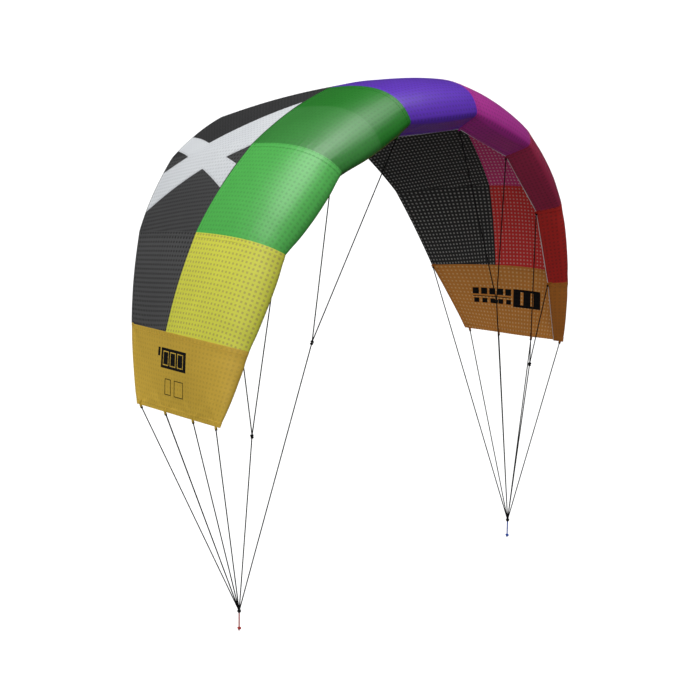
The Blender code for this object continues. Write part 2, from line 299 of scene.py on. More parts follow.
def rib_stretches(i):
    """Dense outline of one rib in its four stretches: rear, turn, crease and flap."""
    if i in _outlines:
        return _outlines[i]
    c = cut()
    rear = np.array([c.rear_along[i], 0.0])
    seam = np.array([c.seam_along[i], c.seam_rise[i]])
    nose = np.array([c.nose_along[i], c.nose_rise[i]])
    lip = np.array([c.lip_along[i], c.lip_rise[i]])
    run = (rear[0] - seam[0]) / 3.0
    mean = seam[1] / (rear[0] - seam[0])
    slope = mean * c.seam_slope
    back = (
        rear,
        rear + np.array([-run, run * mean * c.rear_slope]),
        seam + np.array([run, -run * slope]),
        seam,
    )
    reach = c.nose_fullness * (seam[0] - nose[0])
    drop = c.nose_drop * (seam[1] - nose[1] + 0.02)
    turn = (
        seam,
        seam + np.array([-reach, reach * slope]),
        nose + np.array([drop * c.nose_lean, drop]),
        nose,
    )
    fine = np.linspace(0.0, 1.0, 401)
    over = cubic(turn, fine)
    gap = np.linalg.norm(over - nose, axis=1)
    last = int(np.argmax(gap < c.crease))
    start = over[last]
    end = nose + (lip - nose) / np.linalg.norm(lip - nose) * c.crease
    u = fine[:, None]
    bend = (1 - u) ** 2 * start + 2 * (1 - u) * u * nose + u * u * end
    _outlines[i] = {
        "rear": cubic(back, fine),
        "turn": over[: last + 1],
        "crease": bend,
        "flap": end + (lip - end) * u,
    }
    return _outlines[i]


def rib_foot(i):
    """How far out and how high the foot of a rib stands, before the hold point is taken off."""
    c = cut()
    across, height = c.cell_width / 2.0, 0.0
    for k in range(i):
        width = c.cell_width if k < 3 else c.tip_depth
        across += width * math.cos(c.cell_tilt[k])
        height -= width * math.sin(c.cell_tilt[k])
    return across, height


def stood_up(i, side, flat):
    """Rib outline points put into the kite, with the origin at the hold point."""
    across, height = rib_foot(i)
    lean = cut().rib_lean[i]
    flat = np.atleast_2d(flat)
    points = np.stack(
        [
            side * (across + math.sin(lean) * flat[:, 1]),
            flat[:, 0],
            height + math.cos(lean) * flat[:, 1],
        ],
        axis=1,
    )
    return points - hold_point()


_hold = []


def hold_point():
    """Middle of the flat strip under the nose, on the frame's outer face."""
    if not _hold:
        _hold.append(np.zeros(3))
        front = stood_up(0, 0.0, rib_stretches(0)["flap"][0])[0]
        back = stood_up(0, 0.0, rib_stretches(0)["flap"][-1])[0]
        run = (back - front) / np.linalg.norm(back - front)
        outward = np.cross([1.0, 0.0, 0.0], run)
        if outward[2] > 0:
            outward = -outward
        _hold[0] = (front + back) / 2.0 + outward * cut().frame_cloth
    return _hold[0]


def unit(v):
    """Vectors brought to length one."""
    return v / np.maximum(np.linalg.norm(v, axis=-1, keepdims=True), 1e-12)


def ease(x):
    """Smooth step from nought to one."""
    x = np.clip(x, 0.0, 1.0)
    return x * x * (3.0 - 2.0 * x)


# How full each stretch is, from its rear end to its front end.
FULLNESS = {
    "rear": (0.78, 1.0, 1.0),
    "turn": (1.0, 1.12, 1.0),
    "crease": (1.0, 0.95, 0.9),
    "flap": (0.9, 0.5, 0.1),
}


def pull_points(cell, side):
    """Places on a cell's edge where a line pulls, which crease the cloth around them."""
    found = []
    if cell > 0:
        for i in (cell - 1, cell):
            if i < 4:
                found.append(stood_up(i, side, rib_stretches(i)["flap"][-1])[0])
    else:
        for way in (-1.0, 1.0):
            found.append(stood_up(0, way, rib_stretches(0)["flap"][-1])[0])
    if cell in (3, 4):
        found.append(stood_up(3, side, rib_stretches(3)["rear"][0])[0])
    if cell == 4:
        for share in rigging().tip_places:
            found.append(tip_edge_point(side, share))
    return found


def tip_edge_point(side, share):
    """Point on a tip's lower edge, at a share of its length from the rear."""
    c = cut()
    along = c.rear_along[4] + share * (c.nose_along[4] - c.rear_along[4])
    parts = rib_stretches(4)
    skin = np.vstack([parts["rear"], parts["turn"][1:]])
    order = np.argsort(skin[:, 0])
    rise = np.interp(along, skin[order, 0], skin[order, 1])
    return stood_up(4, side, [along, rise])[0]


def cell_cloth(cell, side, widths, runs, creased=True):
    """Middle surface of one cell's cloth.

    widths are shares across the cell from its inboard rib, runs the stretches
    and the shares along each. Gives points, outward normals, the length run
    along each row and the width of each row.
    """
    near, far = ((0, -1.0), (0, 1.0)) if cell == 0 else ((cell - 1, side), (cell, side))
    rows_a, rows_b, full = [], [], []
    for name, shares in runs:
        rows_a.append(stood_up(near[0], near[1], spaced(rib_stretches(near[0])[name], shares)))
        rows_b.append(stood_up(far[0], far[1], spaced(rib_stretches(far[0])[name], shares)))
        full.append(np.interp(shares, [0.0, 0.5, 1.0], FULLNESS[name]))
    a, b, full = np.vstack(rows_a), np.vstack(rows_b), np.concatenate(full)
    u = np.asarray(widths, float)[None, :, None]
    flat = a[:, None, :] * (1 - u) + b[:, None, :] * u
    across = b - a
    width = np.linalg.norm(across, axis=1)
    middle = (a + b) / 2.0
    down = np.gradient(flat, axis=0)
    way = -1.0 if (cell > 0 and side < 0) else 1.0
    normal = unit(np.cross(down, np.broadcast_to(across[:, None, :], flat.shape))) * way
    run = np.concatenate([[0.0], np.cumsum(np.linalg.norm(np.diff(middle, axis=0), axis=1))])
    swell = cut().billow[cell] * full[:, None] * 4.0 * u[..., 0] * (1.0 - u[..., 0])
    tilt = cut().billow[cell] * full[:, None] * 4.0 * (1.0 - 2.0 * u[..., 0]) / width[:, None]
    sideways = unit(across)[:, None, :]
    points = flat + normal * swell[..., None]
    out = unit(normal - sideways * tilt[..., None])
    if creased:
        c = cloth()
        edge = np.minimum(u[..., 0], 1.0 - u[..., 0]) * width[:, None]
        phase = run[:, None] * (2 * math.pi / 0.0125) + 2.1 * np.sin(run[:, None] * 61.0 + cell)
        lift = c.pucker * np.sin(phase) * np.exp(-edge / 0.011) * (1 - np.exp(-edge / 0.0022))
        drift = 0.00022 * np.sin(run[:, None] * 47.0 + u[..., 0] * 5.0 + cell * 1.7)
        lift = lift + drift * 4.0 * u[..., 0] * (1.0 - u[..., 0])
        for place in pull_points(cell, side):
            away = points - place
            far_off = np.linalg.norm(away, axis=-1)
            aside = (away * sideways).sum(-1, keepdims=True)
            bearing = np.arctan2(aside[..., 0], np.linalg.norm(away - sideways * aside, axis=-1))
            ripple = np.cos(bearing * 9.0 + 0.6) * np.exp(-far_off / 0.034) * (1 - np.exp(-far_off / 0.006))
            lift = lift + c.crease_height * ripple
        points = points + out * lift[..., None]
    return points, out, run, width


# ---------------------------------------------------------------- materials


def group_input(group, name, kind, value=None):
    """Add a named input to a node group."""
    socket = group.interface.new_socket(name=name, in_out="INPUT", socket_type=kind)
    if value is not None:
        socket.default_value = value


def group_output(group, name, kind):
    """Add a named output to a node group."""
    group.interface.new_socket(name=name, in_out="OUTPUT", socket_type=kind)


class Wiring:
    """Short hand for placing and joining shader nodes."""

    def __init__(self, tree):
        self.tree = tree
        self.count = 0

    def node(self, kind, **values):
        made = self.tree.nodes.new(kind)
        made.location = (self.count % 8 * 190, -(self.count // 8) * 220)
        self.count += 1
        for key, value in values.items():
            setattr(made, key, value)
        return made

    def join(self, source, target):
        self.tree.links.new(source, target)

    def math(self, kind, a, b=None, clamp=False):
        made = self.node("ShaderNodeMath", operation=kind, use_clamp=clamp)
        for slot, value in zip(made.inputs, (a, b)):
            if value is None:
                continue
            if isinstance(value, (int, float)):
                slot.default_value = value
            else:
                self.join(value, slot)
        return made.outputs[0]

    def noise(self, vector, scale, detail=3.0, roughness=0.5):
        made = self.node("ShaderNodeTexNoise")
        made.inputs["Scale"].default_value = scale
        made.inputs["Detail"].default_value = detail
        made.inputs["Roughness"].default_value = roughness
        self.join(vector, made.inputs["Vector"])
        return made.outputs["Fac"]

    def blend(self, share, a, b, kind="MIX"):
        made = self.node("ShaderNodeMix", data_type="RGBA", blend_type=kind)
        for slot, value in zip((made.inputs[0], made.inputs[6], made.inputs[7]), (share, a, b)):
            if isinstance(value, (int, float, tuple)):
                slot.default_value = value
            else:
                self.join(value, slot)
        return made.outputs[2]


def ripstop_group():
    """Squares, threads and handling marks of ripstop cloth, in metres of cloth."""
    name = "Ripstop Weave"
    if name in bpy.data.node_groups:
        return bpy.data.node_groups[name]
    group = bpy.data.node_groups.new(name, "ShaderNodeTree")
    group_input(group, "Cloth Place", "NodeSocketVector")
    group_input(group, "Squares per Metre", "NodeSocketFloat", 200.0)
    group_input(group, "Grid Width", "NodeSocketFloat", 0.33)
    group_output(group, "Squares", "NodeSocketFloat")
    group_output(group, "Threads", "NodeSocketFloat")
    group_output(group, "Handling", "NodeSocketFloat")
    group_output(group, "Crinkle", "NodeSocketFloat")
    w = Wiring(group)
    source = w.node("NodeGroupInput")
    result = w.node("NodeGroupOutput")
    split = w.node("ShaderNodeSeparateXYZ")
    w.join(source.outputs["Cloth Place"], split.inputs[0])
    squares = []
    threads = []
    for axis in (0, 1):
        turns = w.math("MULTIPLY", split.outputs[axis], source.outputs["Squares per Metre"])
        wave = w.math("SINE", w.math("MULTIPLY", turns, math.pi))
        raised = w.math("SUBTRACT", w.math("MULTIPLY", wave, wave), source.outputs["Grid Width"])
        squares.append(w.math("MULTIPLY", raised, 2.8, True))
        threads.append(w.math("SINE", w.math("MULTIPLY", turns, math.pi * 18.0)))
    w.join(w.math("MULTIPLY", *squares), result.inputs["Squares"])
    w.join(w.math("MULTIPLY", *threads), result.inputs["Threads"])
    broad = w.noise(source.outputs["Cloth Place"], 9.0, 3.0, 0.55)
    patchy = w.noise(source.outputs["Cloth Place"], 60.0, 4.0, 0.6)
    handled = w.math("ADD", w.math("MULTIPLY", broad, 0.65), w.math("MULTIPLY", patchy, 0.35))
    w.join(handled, result.inputs["Handling"])
    soft = w.noise(source.outputs["Cloth Place"], 26.0, 4.0, 0.62)
    ridge = w.math("ABSOLUTE", w.math("SUBTRACT", soft, 0.5))
    w.join(w.math("SUBTRACT", 1.0, w.math("MULTIPLY", ridge, 2.0)), result.inputs["Crinkle"])
    return group


def braid_group():
    """Diagonal braid of a thin cord, from its round-and-along places."""
    name = "Cord Braid"
    if name in bpy.data.node_groups:
        return bpy.data.node_groups[name]
    group = bpy.data.node_groups.new(name, "ShaderNodeTree")
    group_input(group, "Cord Place", "NodeSocketVector")
    group_input(group, "Strands per Metre", "NodeSocketFloat", 700.0)
    group_output(group, "Strands", "NodeSocketFloat")
    group_output(group, "Fuzz", "NodeSocketFloat")
    w = Wiring(group)
    source = w.node("NodeGroupInput")
    result = w.node("NodeGroupOutput")
    split = w.node("ShaderNodeSeparateXYZ")
    w.join(source.outputs["Cord Place"], split.inputs[0])
    along = w.math("MULTIPLY", split.outputs[1], source.outputs["Strands per Metre"])
    round_it = w.math("MULTIPLY", split.outputs[0], 4.0)
    one = w.math("SINE", w.math("MULTIPLY", w.math("ADD", along, round_it), 2 * math.pi))
    two = w.math("SINE", w.math("MULTIPLY", w.math("SUBTRACT", along, round_it), 2 * math.pi))
    w.join(w.math("MAXIMUM", one, two), result.inputs["Strands"])
    w.join(w.noise(source.outputs["Cord Place"], 300.0, 3.0, 0.6), result.inputs["Fuzz"])
    return group


def shaded(tint, share):
    """A colour made lighter or darker, with its alpha."""
    return tuple(max(0.0, min(1.0, value * share)) for value in tint) + (1.0,)


def cloth_material(name, tint, make, lap_and_painted_light_from=None):
    """Ripstop cloth: tinted squares, raised threads, handling marks and fine crinkles.

    make holds the size of the cloth's squares, how wide its grid is, how light
    its threads are and the colour of its squares, then gloss, roughness, sheen
    and coat. The last argument is the cloth place beyond which the cloth is
    painted a little lighter and greyer, as painted light.
    """
    if name in bpy.data.materials:
        return bpy.data.materials[name]
    mat = bpy.data.materials.new(name)
    mat.use_nodes = True
    w = Wiring(mat.node_tree)
    shader = mat.node_tree.nodes["Principled BSDF"]
    shader.inputs["Sheen Weight"].default_value = make["sheen"]
    shader.inputs["Sheen Roughness"].default_value = 0.4
    shader.inputs["Specular IOR Level"].default_value = make["gloss"]
    shader.inputs["Coat Weight"].default_value = make["coat"]
    shader.inputs["Coat Roughness"].default_value = 0.36
    place = w.node("ShaderNodeUVMap", uv_map="Weave")
    weave = w.node("ShaderNodeGroup")
    weave.node_tree = ripstop_group()
    weave.inputs["Squares per Metre"].default_value = 1.0 / make["square"]
    weave.inputs["Grid Width"].default_value = make["grid"]
    w.join(place.outputs[0], weave.inputs["Cloth Place"])
    squares = tuple(make["squares"]) + (1.0,)
    base = w.blend(weave.outputs["Squares"], shaded(tint, make["threads"]), squares)
    # Painted light: past the given place the cloth is mixed a little towards a pale grey green.
    if lap_and_painted_light_from is not None:
        split = w.node("ShaderNodeSeparateXYZ")
        w.join(place.outputs[0], split.inputs[0])
        painted_light_mask = w.math("MULTIPLY", w.math("SUBTRACT", split.outputs[0], lap_and_painted_light_from), 900.0, True)
        painted_lighter = w.blend(PAINTED_LIGHT_SHARE, base, PAINTED_LIGHT_TINT)
        base = w.blend(painted_light_mask, base, painted_lighter)
    worn = w.node("ShaderNodeValToRGB")
    worn.color_ramp.elements[0].position = 0.30
    worn.color_ramp.elements[0].color = (0.91, 0.91, 0.92, 1.0)
    worn.color_ramp.elements[1].position = 0.72
    worn.color_ramp.elements[1].color = (1.05, 1.05, 1.04, 1.0)
    w.join(weave.outputs["Handling"], worn.inputs[0])
    w.join(w.blend(1.0, base, worn.outputs[0], "MULTIPLY"), shader.inputs["Base Color"])
    rough = w.math("ADD", w.math("MULTIPLY", weave.outputs["Handling"], 0.12), make["roughness"] - 0.06)
    rough = w.math("ADD", rough, w.math("MULTIPLY", weave.outputs["Squares"], 0.05))
    w.join(rough, shader.inputs["Roughness"])
    sunk = w.math("MULTIPLY", weave.outputs["Squares"], -0.35)
    height = w.math("ADD", sunk, w.math("MULTIPLY", weave.outputs["Threads"], 0.10))
    height = w.math("ADD", height, w.math("MULTIPLY", weave.outputs["Crinkle"], 1.1))
    bump = w.node("ShaderNodeBump")
    bump.inputs["Strength"].default_value = 0.45
    bump.inputs["Distance"].default_value = 0.0004
    w.join(height, bump.inputs["Height"])
    w.join(bump.outputs[0], shader.inputs["Normal"])
    return mat


def cord_material(name, tint, strands=700.0, roughness=0.58, sheen=0.08):
    """Braided cord or tape with a slight fuzz."""
    if name in bpy.data.materials:
        return bpy.data.materials[name]
    mat = bpy.data.materials.new(name)
    mat.use_nodes = True
    w = Wiring(mat.node_tree)
    shader = mat.node_tree.nodes["Principled BSDF"]
    shader.inputs["Sheen Weight"].default_value = sheen
    shader.inputs["Specular IOR Level"].default_value = 0.3
    place = w.node("ShaderNodeUVMap", uv_map="Weave")
    braid = w.node("ShaderNodeGroup")
    braid.node_tree = braid_group()
    braid.inputs["Strands per Metre"].default_value = strands
    w.join(place.outputs[0], braid.inputs["Cord Place"])
    lit = w.math("ADD", w.math("MULTIPLY", braid.outputs["Strands"], 0.35), 0.55, True)
    base = w.blend(lit, shaded(tint, 0.62), shaded(tint, 1.22))
    fuzzy = w.blend(w.math("MULTIPLY", braid.outputs["Fuzz"], 0.18), base, shaded(tint, 1.9))
    w.join(fuzzy, shader.inputs["Base Color"])
    rough = w.math("ADD", w.math("MULTIPLY", braid.outputs["Fuzz"], 0.2), roughness - 0.1)
    w.join(rough, shader.inputs["Roughness"])
    bump = w.node("ShaderNodeBump")
    bump.inputs["Strength"].default_value = 0.6
    bump.inputs["Distance"].default_value = 0.0002
    w.join(braid.outputs["Strands"], bump.inputs["Height"])
    w.join(bump.outputs[0], shader.inputs["Normal"])
    return mat


# ---------------------------------------------------------------- mesh makers


def new_piece(name, verts, faces, mats, uv=None, face_mats=None, sharp=40.0):
    """One mesh object with its cloth places in a UV map called Weave."""
    mesh = bpy.data.meshes.new(name)
    if not isinstance(faces, list):
        faces = faces.tolist()
    mesh.from_pydata(np.asarray(verts).tolist(), [], faces)
    for mat in mats:
        mesh.materials.append(mat)
    if face_mats is not None:
        mesh.polygons.foreach_set("material_index", np.asarray(face_mats, np.int32))
    layer = mesh.uv_layers.new(name="Weave")
    if uv is not None:
        loops = np.empty(len(mesh.loops), np.int32)
        mesh.loops.foreach_get("vertex_index", loops)
        layer.data.foreach_set("uv", np.asarray(uv, np.float32)[loops].ravel())
    mesh.polygons.foreach_set("use_smooth", np.ones(len(mesh.polygons), bool))
    mesh.set_sharp_from_angle(angle=math.radians(sharp))
    mesh.update()
    obj = bpy.data.objects.new(name, mesh)
    bpy.context.scene.collection.objects.link(obj)
    return obj


def shell(outer, inner, flipped):
    """Closed thin shell from two grids of the same shape."""
    m, n = outer.shape[:2]
    verts = np.concatenate([outer.reshape(-1, 3), inner.reshape(-1, 3)])
    r, c = np.meshgrid(np.arange(m - 1), np.arange(n - 1), indexing="ij")
    a = (r * n + c).ravel()
    top = np.stack([a, a + n, a + n + 1, a + 1], axis=1)
    low = top[:, ::-1] + m * n
    ring = list(range(n - 1)) + [k * n + n - 1 for k in range(m - 1)]
    ring += [(m - 1) * n + k for k in range(n - 1, 0, -1)] + [k * n for k in range(m - 1, 0, -1)]
    ring = np.array(ring)
    after = np.roll(ring, -1)
    rim = np.stack([ring, after, after + m * n, ring + m * n], axis=1)
    faces = np.concatenate([top, low, rim])
    if flipped:
        faces = faces[:, ::-1]
    marks = np.concatenate([np.zeros(len(top)), np.ones(len(low)), np.zeros(len(rim))]).astype(np.int32)
    return verts, faces, marks


def tube(name, path, radius, mats, sides=8, closed=False, radii=None):
    """Round cord along a path, its UV in turns and metres."""
    path = np.asarray(path, float)
    count = len(path)
    if closed:
        tangent = unit(np.roll(path, -1, 0) - np.roll(path, 1, 0))
    else:
        tangent = unit(np.gradient(path, axis=0))
    helper = np.array([0.0, 0.0, 1.0]) if abs(tangent[0][2]) < 0.9 else np.array([1.0, 0.0, 0.0])
    first = unit(np.cross(tangent[0], helper))
    frames = [first]
    for k in range(1, count):
        kept = frames[-1] - tangent[k] * np.dot(frames[-1], tangent[k])
        frames.append(unit(kept))
    frames = np.array(frames)
    other = np.cross(tangent, frames)
    size = np.full(count, radius) if radii is None else np.asarray(radii, float)
    turn = np.linspace(0.0, 2 * math.pi, sides, endpoint=False)
    if closed:
        slip = math.atan2(np.dot(frames[-1], other[0]), np.dot(frames[-1], frames[0]))
        twist = np.linspace(0.0, -slip, count, endpoint=False)
    else:
        twist = np.zeros(count)
    angle = turn[None, :] + twist[:, None]
    rings = path[:, None] + size[:, None, None] * (
        np.cos(angle)[..., None] * frames[:, None] + np.sin(angle)[..., None] * other[:, None]
    )
    run = np.concatenate([[0.0], np.cumsum(np.linalg.norm(np.diff(path, axis=0), axis=1))])
    verts = rings.reshape(-1, 3)
    uv = np.stack([np.tile(turn / (2 * math.pi), count), np.repeat(run, sides)], axis=1)
    faces = []
    spans = count if closed else count - 1
    for k in range(spans):
        for s in range(sides):
            a = k * sides + s
            b = k * sides + (s + 1) % sides
            c = (k + 1) % count * sides + (s + 1) % sides
            d = (k + 1) % count * sides + s
            faces.append([a, b, c, d])
    if not closed:
        faces.append(list(range(sides))[::-1])
        faces.append([(count - 1) * sides + s for s in range(sides)])
    return new_piece(name, verts, faces, mats, uv, sharp=60.0)


def merge(name, pieces):
    """Join several loose meshes into one piece."""
    main = pieces[0]
    if len(pieces) > 1:
        with bpy.context.temp_override(active_object=main, selected_editable_objects=pieces):
            bpy.ops.object.join()
    main.name = name
    main.data.name = name
    return main


def stitch_row(path, normal, pitch=0.0034, long=0.0025, wide=0.00045, high=0.00022):
    """Small raised stitches along a path: corner points and faces."""
    steps = np.linalg.norm(np.diff(path, axis=0), axis=1)
    run = np.concatenate([[0.0], np.cumsum(steps)])
    count = max(1, int(run[-1] / pitch))
    middle = (np.arange(count) + 0.5) * run[-1] / count

    def at(where, source):
        """Values of source at places along the path."""
        return np.stack([np.interp(where, run, source[:, k]) for k in range(3)], axis=1)

    centre = at(middle, path)
    out = unit(at(middle, normal))
    way = unit(at(middle + long / 2, path) - at(middle - long / 2, path))
    beside = np.cross(out, way)
    verts = []
    for lift, shrink in ((-0.00012, 1.0), (high, 0.72)):
        for a, b in ((-1, -1), (1, -1), (1, 1), (-1, 1)):
            end = centre + way * (a * long / 2 * shrink)
            verts.append(end + beside * (b * wide / 2 * shrink) + out * lift)
    verts = np.stack(verts, axis=1).reshape(-1, 3)
    pattern = np.array(
        [[0, 3, 2, 1], [4, 5, 6, 7], [0, 1, 5, 4], [1, 2, 6, 5], [2, 3, 7, 6], [3, 0, 4, 7]]
    )
    faces = (pattern[None] + np.arange(count)[:, None, None] * 8).reshape(-1, 4)
    return verts, faces


def gather_rows(name, groups):
    """One mesh from rows of stitches, each group with its own thread."""
    verts, faces, marks, total = [], [], [], 0
    for index, (rows, mat) in enumerate(groups):
        for points, quads in rows:
            verts.append(points)
            faces.append(quads + total)
            marks.append(np.full(len(quads), index))
            total += len(points)
    verts = np.concatenate(verts)
    uv = np.stack([np.zeros(len(verts)), verts[:, 2]], axis=1)
    mats = [mat for rows, mat in groups]
    return new_piece(
        name, verts, np.concatenate(faces), mats, uv, np.concatenate(marks), sharp=30.0
    )


def attach(piece, cell, side):
    """Sew a piece to its body; a piece of the first wing cell is put on no body, its place baked into its
    mesh.
    """
    if cell == 0:
        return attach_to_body(piece, "centre")
    wing = ("left" if side < 0 else "right") + "_wing"
    if cell == 1:
        start = stood_up(0, side, [0.0, 0.0])[0]
        end = stood_up(1, side, [0.0, 0.0])[0]
        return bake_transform(piece)
    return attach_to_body(piece, wing)


# ---------------------------------------------------------------- cloth pieces


def rows_with_bands(length_mm, first, last, step=3.2):
    """Shares along a stretch with close rows beside a folded edge at either end."""
    band = cloth().hem * 1000.0
    marks = [0.0]
    if first:
        marks += [0.5, band * 0.5, band - 0.6, band, band + 0.8]
    tail = [length_mm]
    if last:
        tail = [
            length_mm - band - 0.8, length_mm - band, length_mm - band + 0.6,
            length_mm - band * 0.5, length_mm - 0.5, length_mm,
        ]
    count = max(2, int((tail[0] - marks[-1]) / step))
    between = np.linspace(marks[-1], tail[0], count + 1)[1:-1].tolist()
    return np.array(marks + between + tail) / length_mm


def panel_width(cell):
    """Flat width of a cell's cloth at its base."""
    return cut().cell_width if cell < 4 else cut().tip_depth


def stretch_length(cell, name):
    """Length of one stretch at the middle of a cell, in millimetres."""
    ribs = (0, 0) if cell == 0 else (cell - 1, cell)
    total = 0.0
    for i in ribs:
        line = rib_stretches(i)[name]
        total += np.linalg.norm(np.diff(line, axis=0), axis=1).sum() / 2
    return total * 1000.0


def panel_runs(cell, kind):
    """Stretches and row shares for a rear, nose or whole tip panel."""
    runs = []
    if kind in ("rear", "whole"):
        runs.append(("rear", rows_with_bands(stretch_length(cell, "rear"), True, False)))
    if kind in ("nose", "whole"):
        turn = rows_with_bands(stretch_length(cell, "turn"), kind == "nose", False, 2.6)
        if kind == "whole":
            turn = turn[1:]
        runs.append(("turn", turn))
        runs.append(("crease", np.linspace(0.0, 1.0, 11)[1:]))
        runs.append(("flap", rows_with_bands(stretch_length(cell, "flap"), False, True)[1:]))
    return runs


def step_up(distance, width, height):
    """Height of a folded band: full inside it, easing down at its outer end."""
    return height * (1.0 - ease((distance - width + FOLD_EASE) / FOLD_EASE))


def panel_piece(name, cell, side, kind, tint_name):
    """One sewn panel with folded hems and seams, its lining side in its own material."""
    c = cloth()
    widths = rows_with_bands(panel_width(cell) * 1000.0, cell > 0, cell == 4, 4.0)
    runs = panel_runs(cell, kind)
    points, out, run, width = cell_cloth(cell, side, widths, runs)
    inboard = widths[None, :] * width[:, None]
    outboard = (1.0 - widths)[None, :] * width[:, None]
    rise = np.zeros(points.shape[:2])
    sink = np.zeros(points.shape[:2])
    fold = c.hem
    if cell > 0:
        rise = np.maximum(rise, step_up(inboard, fold, SEAM_RISE))
        sink = np.maximum(sink, step_up(inboard, fold, SEAM_SINK))
    if cell == 4:
        for target in (rise, sink):
            np.maximum(target, step_up(outboard, fold, HEM_RISE), out=target)
    from_start = run[:, None] + 0 * inboard
    from_end = (run[-1] - run)[:, None] + 0 * inboard
    if kind in ("rear", "whole"):
        for target in (rise, sink):
            np.maximum(target, step_up(from_start, fold, HEM_RISE), out=target)
    if kind == "nose":
        rise = np.maximum(rise, step_up(from_start, fold, SEAM_RISE))
    if kind in ("nose", "whole"):
        for target in (rise, sink):
            np.maximum(target, step_up(from_end, fold, HEM_RISE), out=target)
    half = c.thickness / 2.0
    top = points + out * (half + rise)[..., None]
    low = points - out * (half + sink)[..., None]
    verts, faces, marks = shell(top, low, cell > 0 and side < 0)
    along = run[:, None] + ROW_APART * cell + (NOSE_APART if kind == "nose" else 0.0)
    across = inboard + cell * CELL_APART + (side > 0) * SIDE_APART
    place = np.stack([across, along + 0 * inboard], axis=-1).reshape(-1, 2)
    uv = np.concatenate([place, place])
    outer, lining = cloth_pair(tint_name)
    piece = new_piece(name + "_cloth", verts, faces, [outer, lining], uv, marks, sharp=50.0)
    attach(piece, cell, side)
    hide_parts(name)


# For each cloth: darkness of its squares outside, then the lining's colour and dot colour.
LININGS = {
    "black": (0.45, (0.044, 0.044, 0.043), (0.42, 0.42, 0.41)),
    "soft_black": (0.50, (0.044, 0.044, 0.043), (0.42, 0.42, 0.41)),
    "deep_black": (0.55, (0.044, 0.044, 0.043), (0.42, 0.42, 0.41)),
    "purple": (0.74, (0.13, 0.034, 0.42), (0.34, 0.20, 0.66)),
    "green": (0.88, (0.040, 0.24, 0.040), (0.18, 0.48, 0.18)),
    "light_green": (0.86, (0.10, 0.46, 0.10), (0.30, 0.70, 0.30)),
    "yellow": (0.74, (0.66, 0.66, 0.080), (0.84, 0.84, 0.28)),
    "magenta": (0.74, (0.72, 0.060, 0.36), (0.96, 0.42, 0.70)),
    "wine": (0.74, (0.80, 0.066, 0.26), (0.98, 0.44, 0.62)),
    "red": (0.74, (0.88, 0.050, 0.048), (0.98, 0.41, 0.39)),
    "ochre": (0.93, (0.70, 0.38, 0.060), (0.86, 0.60, 0.22)),
    "amber": (0.90, (0.80, 0.305, 0.060), (0.97, 0.58, 0.24)),
    "white": (0.86, (0.60, 0.61, 0.63), (0.70, 0.71, 0.73)),
}


def cloth_pair(tint_name):
    """Outer and lining materials of one cloth colour."""
    c = cloth()
    tint = tuple(getattr(c, tint_name))
    title = tint_name.replace("_", " ").title()
    dark, inner, dots = LININGS[tint_name]
    black = tint_name.endswith("black")
    dull = black or tint_name == "white"
    square = tuple(value * dark for value in tint)
    if tint_name == "yellow":
        square = (0.56, 0.51, 0.085)
    outside = {
        "square": c.square, "grid": 0.36, "threads": 1.22 if black else 1.06, "squares": square,
        "gloss": 0.06 if dull else 1.0, "roughness": 0.60 if dull else 0.38, "sheen": 0.0,
        "coat": 0.0 if dull else 0.5,
    }
    inside = {
        "square": c.lining_square, "grid": 0.46, "threads": 1.0, "squares": dots,
        "gloss": 0.18, "roughness": 0.66, "sheen": 0.0, "coat": 0.0,
    }
    # The cloth place from which the green cell is painted lighter, as painted light.
    lap_and_painted_light_from = CELL_APART + PAINTED_LIGHT_FROM * cut().cell_width if tint_name == "green" else None
    outer = cloth_material(title + " Ripstop", tint, outside, lap_and_painted_light_from)
    lining = cloth_material(title + " Lining", inner, inside)
    return outer, lining


def print_material(name, tint):
    """Matt ink printed on the cloth, which lets the weave show."""
    return cloth_material(name, tint, {
        "square": cloth().square, "grid": 0.30, "threads": 1.2,
        "squares": tuple(value * 0.8 for value in tint),
        "gloss": 0.2, "roughness": 0.6, "sheen": 0.0, "coat": 0.0,
    })


def thread_material(tint_name):
    """Polyester thread, a little darker than its cloth."""
    if tint_name == "black":
        return cord_material("Black Thread", (0.030, 0.030, 0.031), 900.0, 0.5)
    tint = tuple(value * 0.80 for value in getattr(cloth(), tint_name))
    return cord_material(tint_name.replace("_", " ").title() + " Thread", tint, 900.0, 0.5)


def cell_tint(side_name, cell):
    """Name of the colour of a cell's nose or tip."""
    if cell == 0:
        return "purple"
    if cell == 4:
        # The right tip's colour is darker than the left tip's as painted shade.
        return "ochre" if side_name == "left" else "amber"
    return NOSE_TINTS[side_name, cell]


NOSE_TINTS = {
    ("left", 1): "green", ("left", 2): "light_green", ("left", 3): "yellow",
    ("right", 1): "magenta", ("right", 2): "wine", ("right", 3): "red",
}


class KITE_OT_rear_panels(bpy.types.Operator):
    """Sew the black rear panels"""

    bl_idname = "kite.rear_panels"
    bl_label = "Rear Panels"

    def execute(self, context):
        blacks = ("deep_black", "deep_black", "soft_black", "black")
        panel_piece("centre_rear_panel", 0, 1.0, "rear", blacks[0])
        for side_name, side in SIDES:
            for cell in (1, 2, 3):
                panel_piece(f"{side_name}_rear_panel_{cell}", cell, side, "rear", blacks[cell])
        return {"FINISHED"}


class KITE_OT_nose_panels(bpy.types.Operator):
    """Sew the coloured nose panels that roll under to the lip"""

    bl_idname = "kite.nose_panels"
    bl_label = "Nose Panels"

    def execute(self, context):
        panel_piece("centre_nose_panel", 0, 1.0, "nose", "purple")
        for side_name, side in SIDES:
            for cell in (1, 2, 3):
                tint = NOSE_TINTS[side_name, cell]
                panel_piece(f"{side_name}_nose_panel_{cell}", cell, side, "nose", tint)
        return {"FINISHED"}


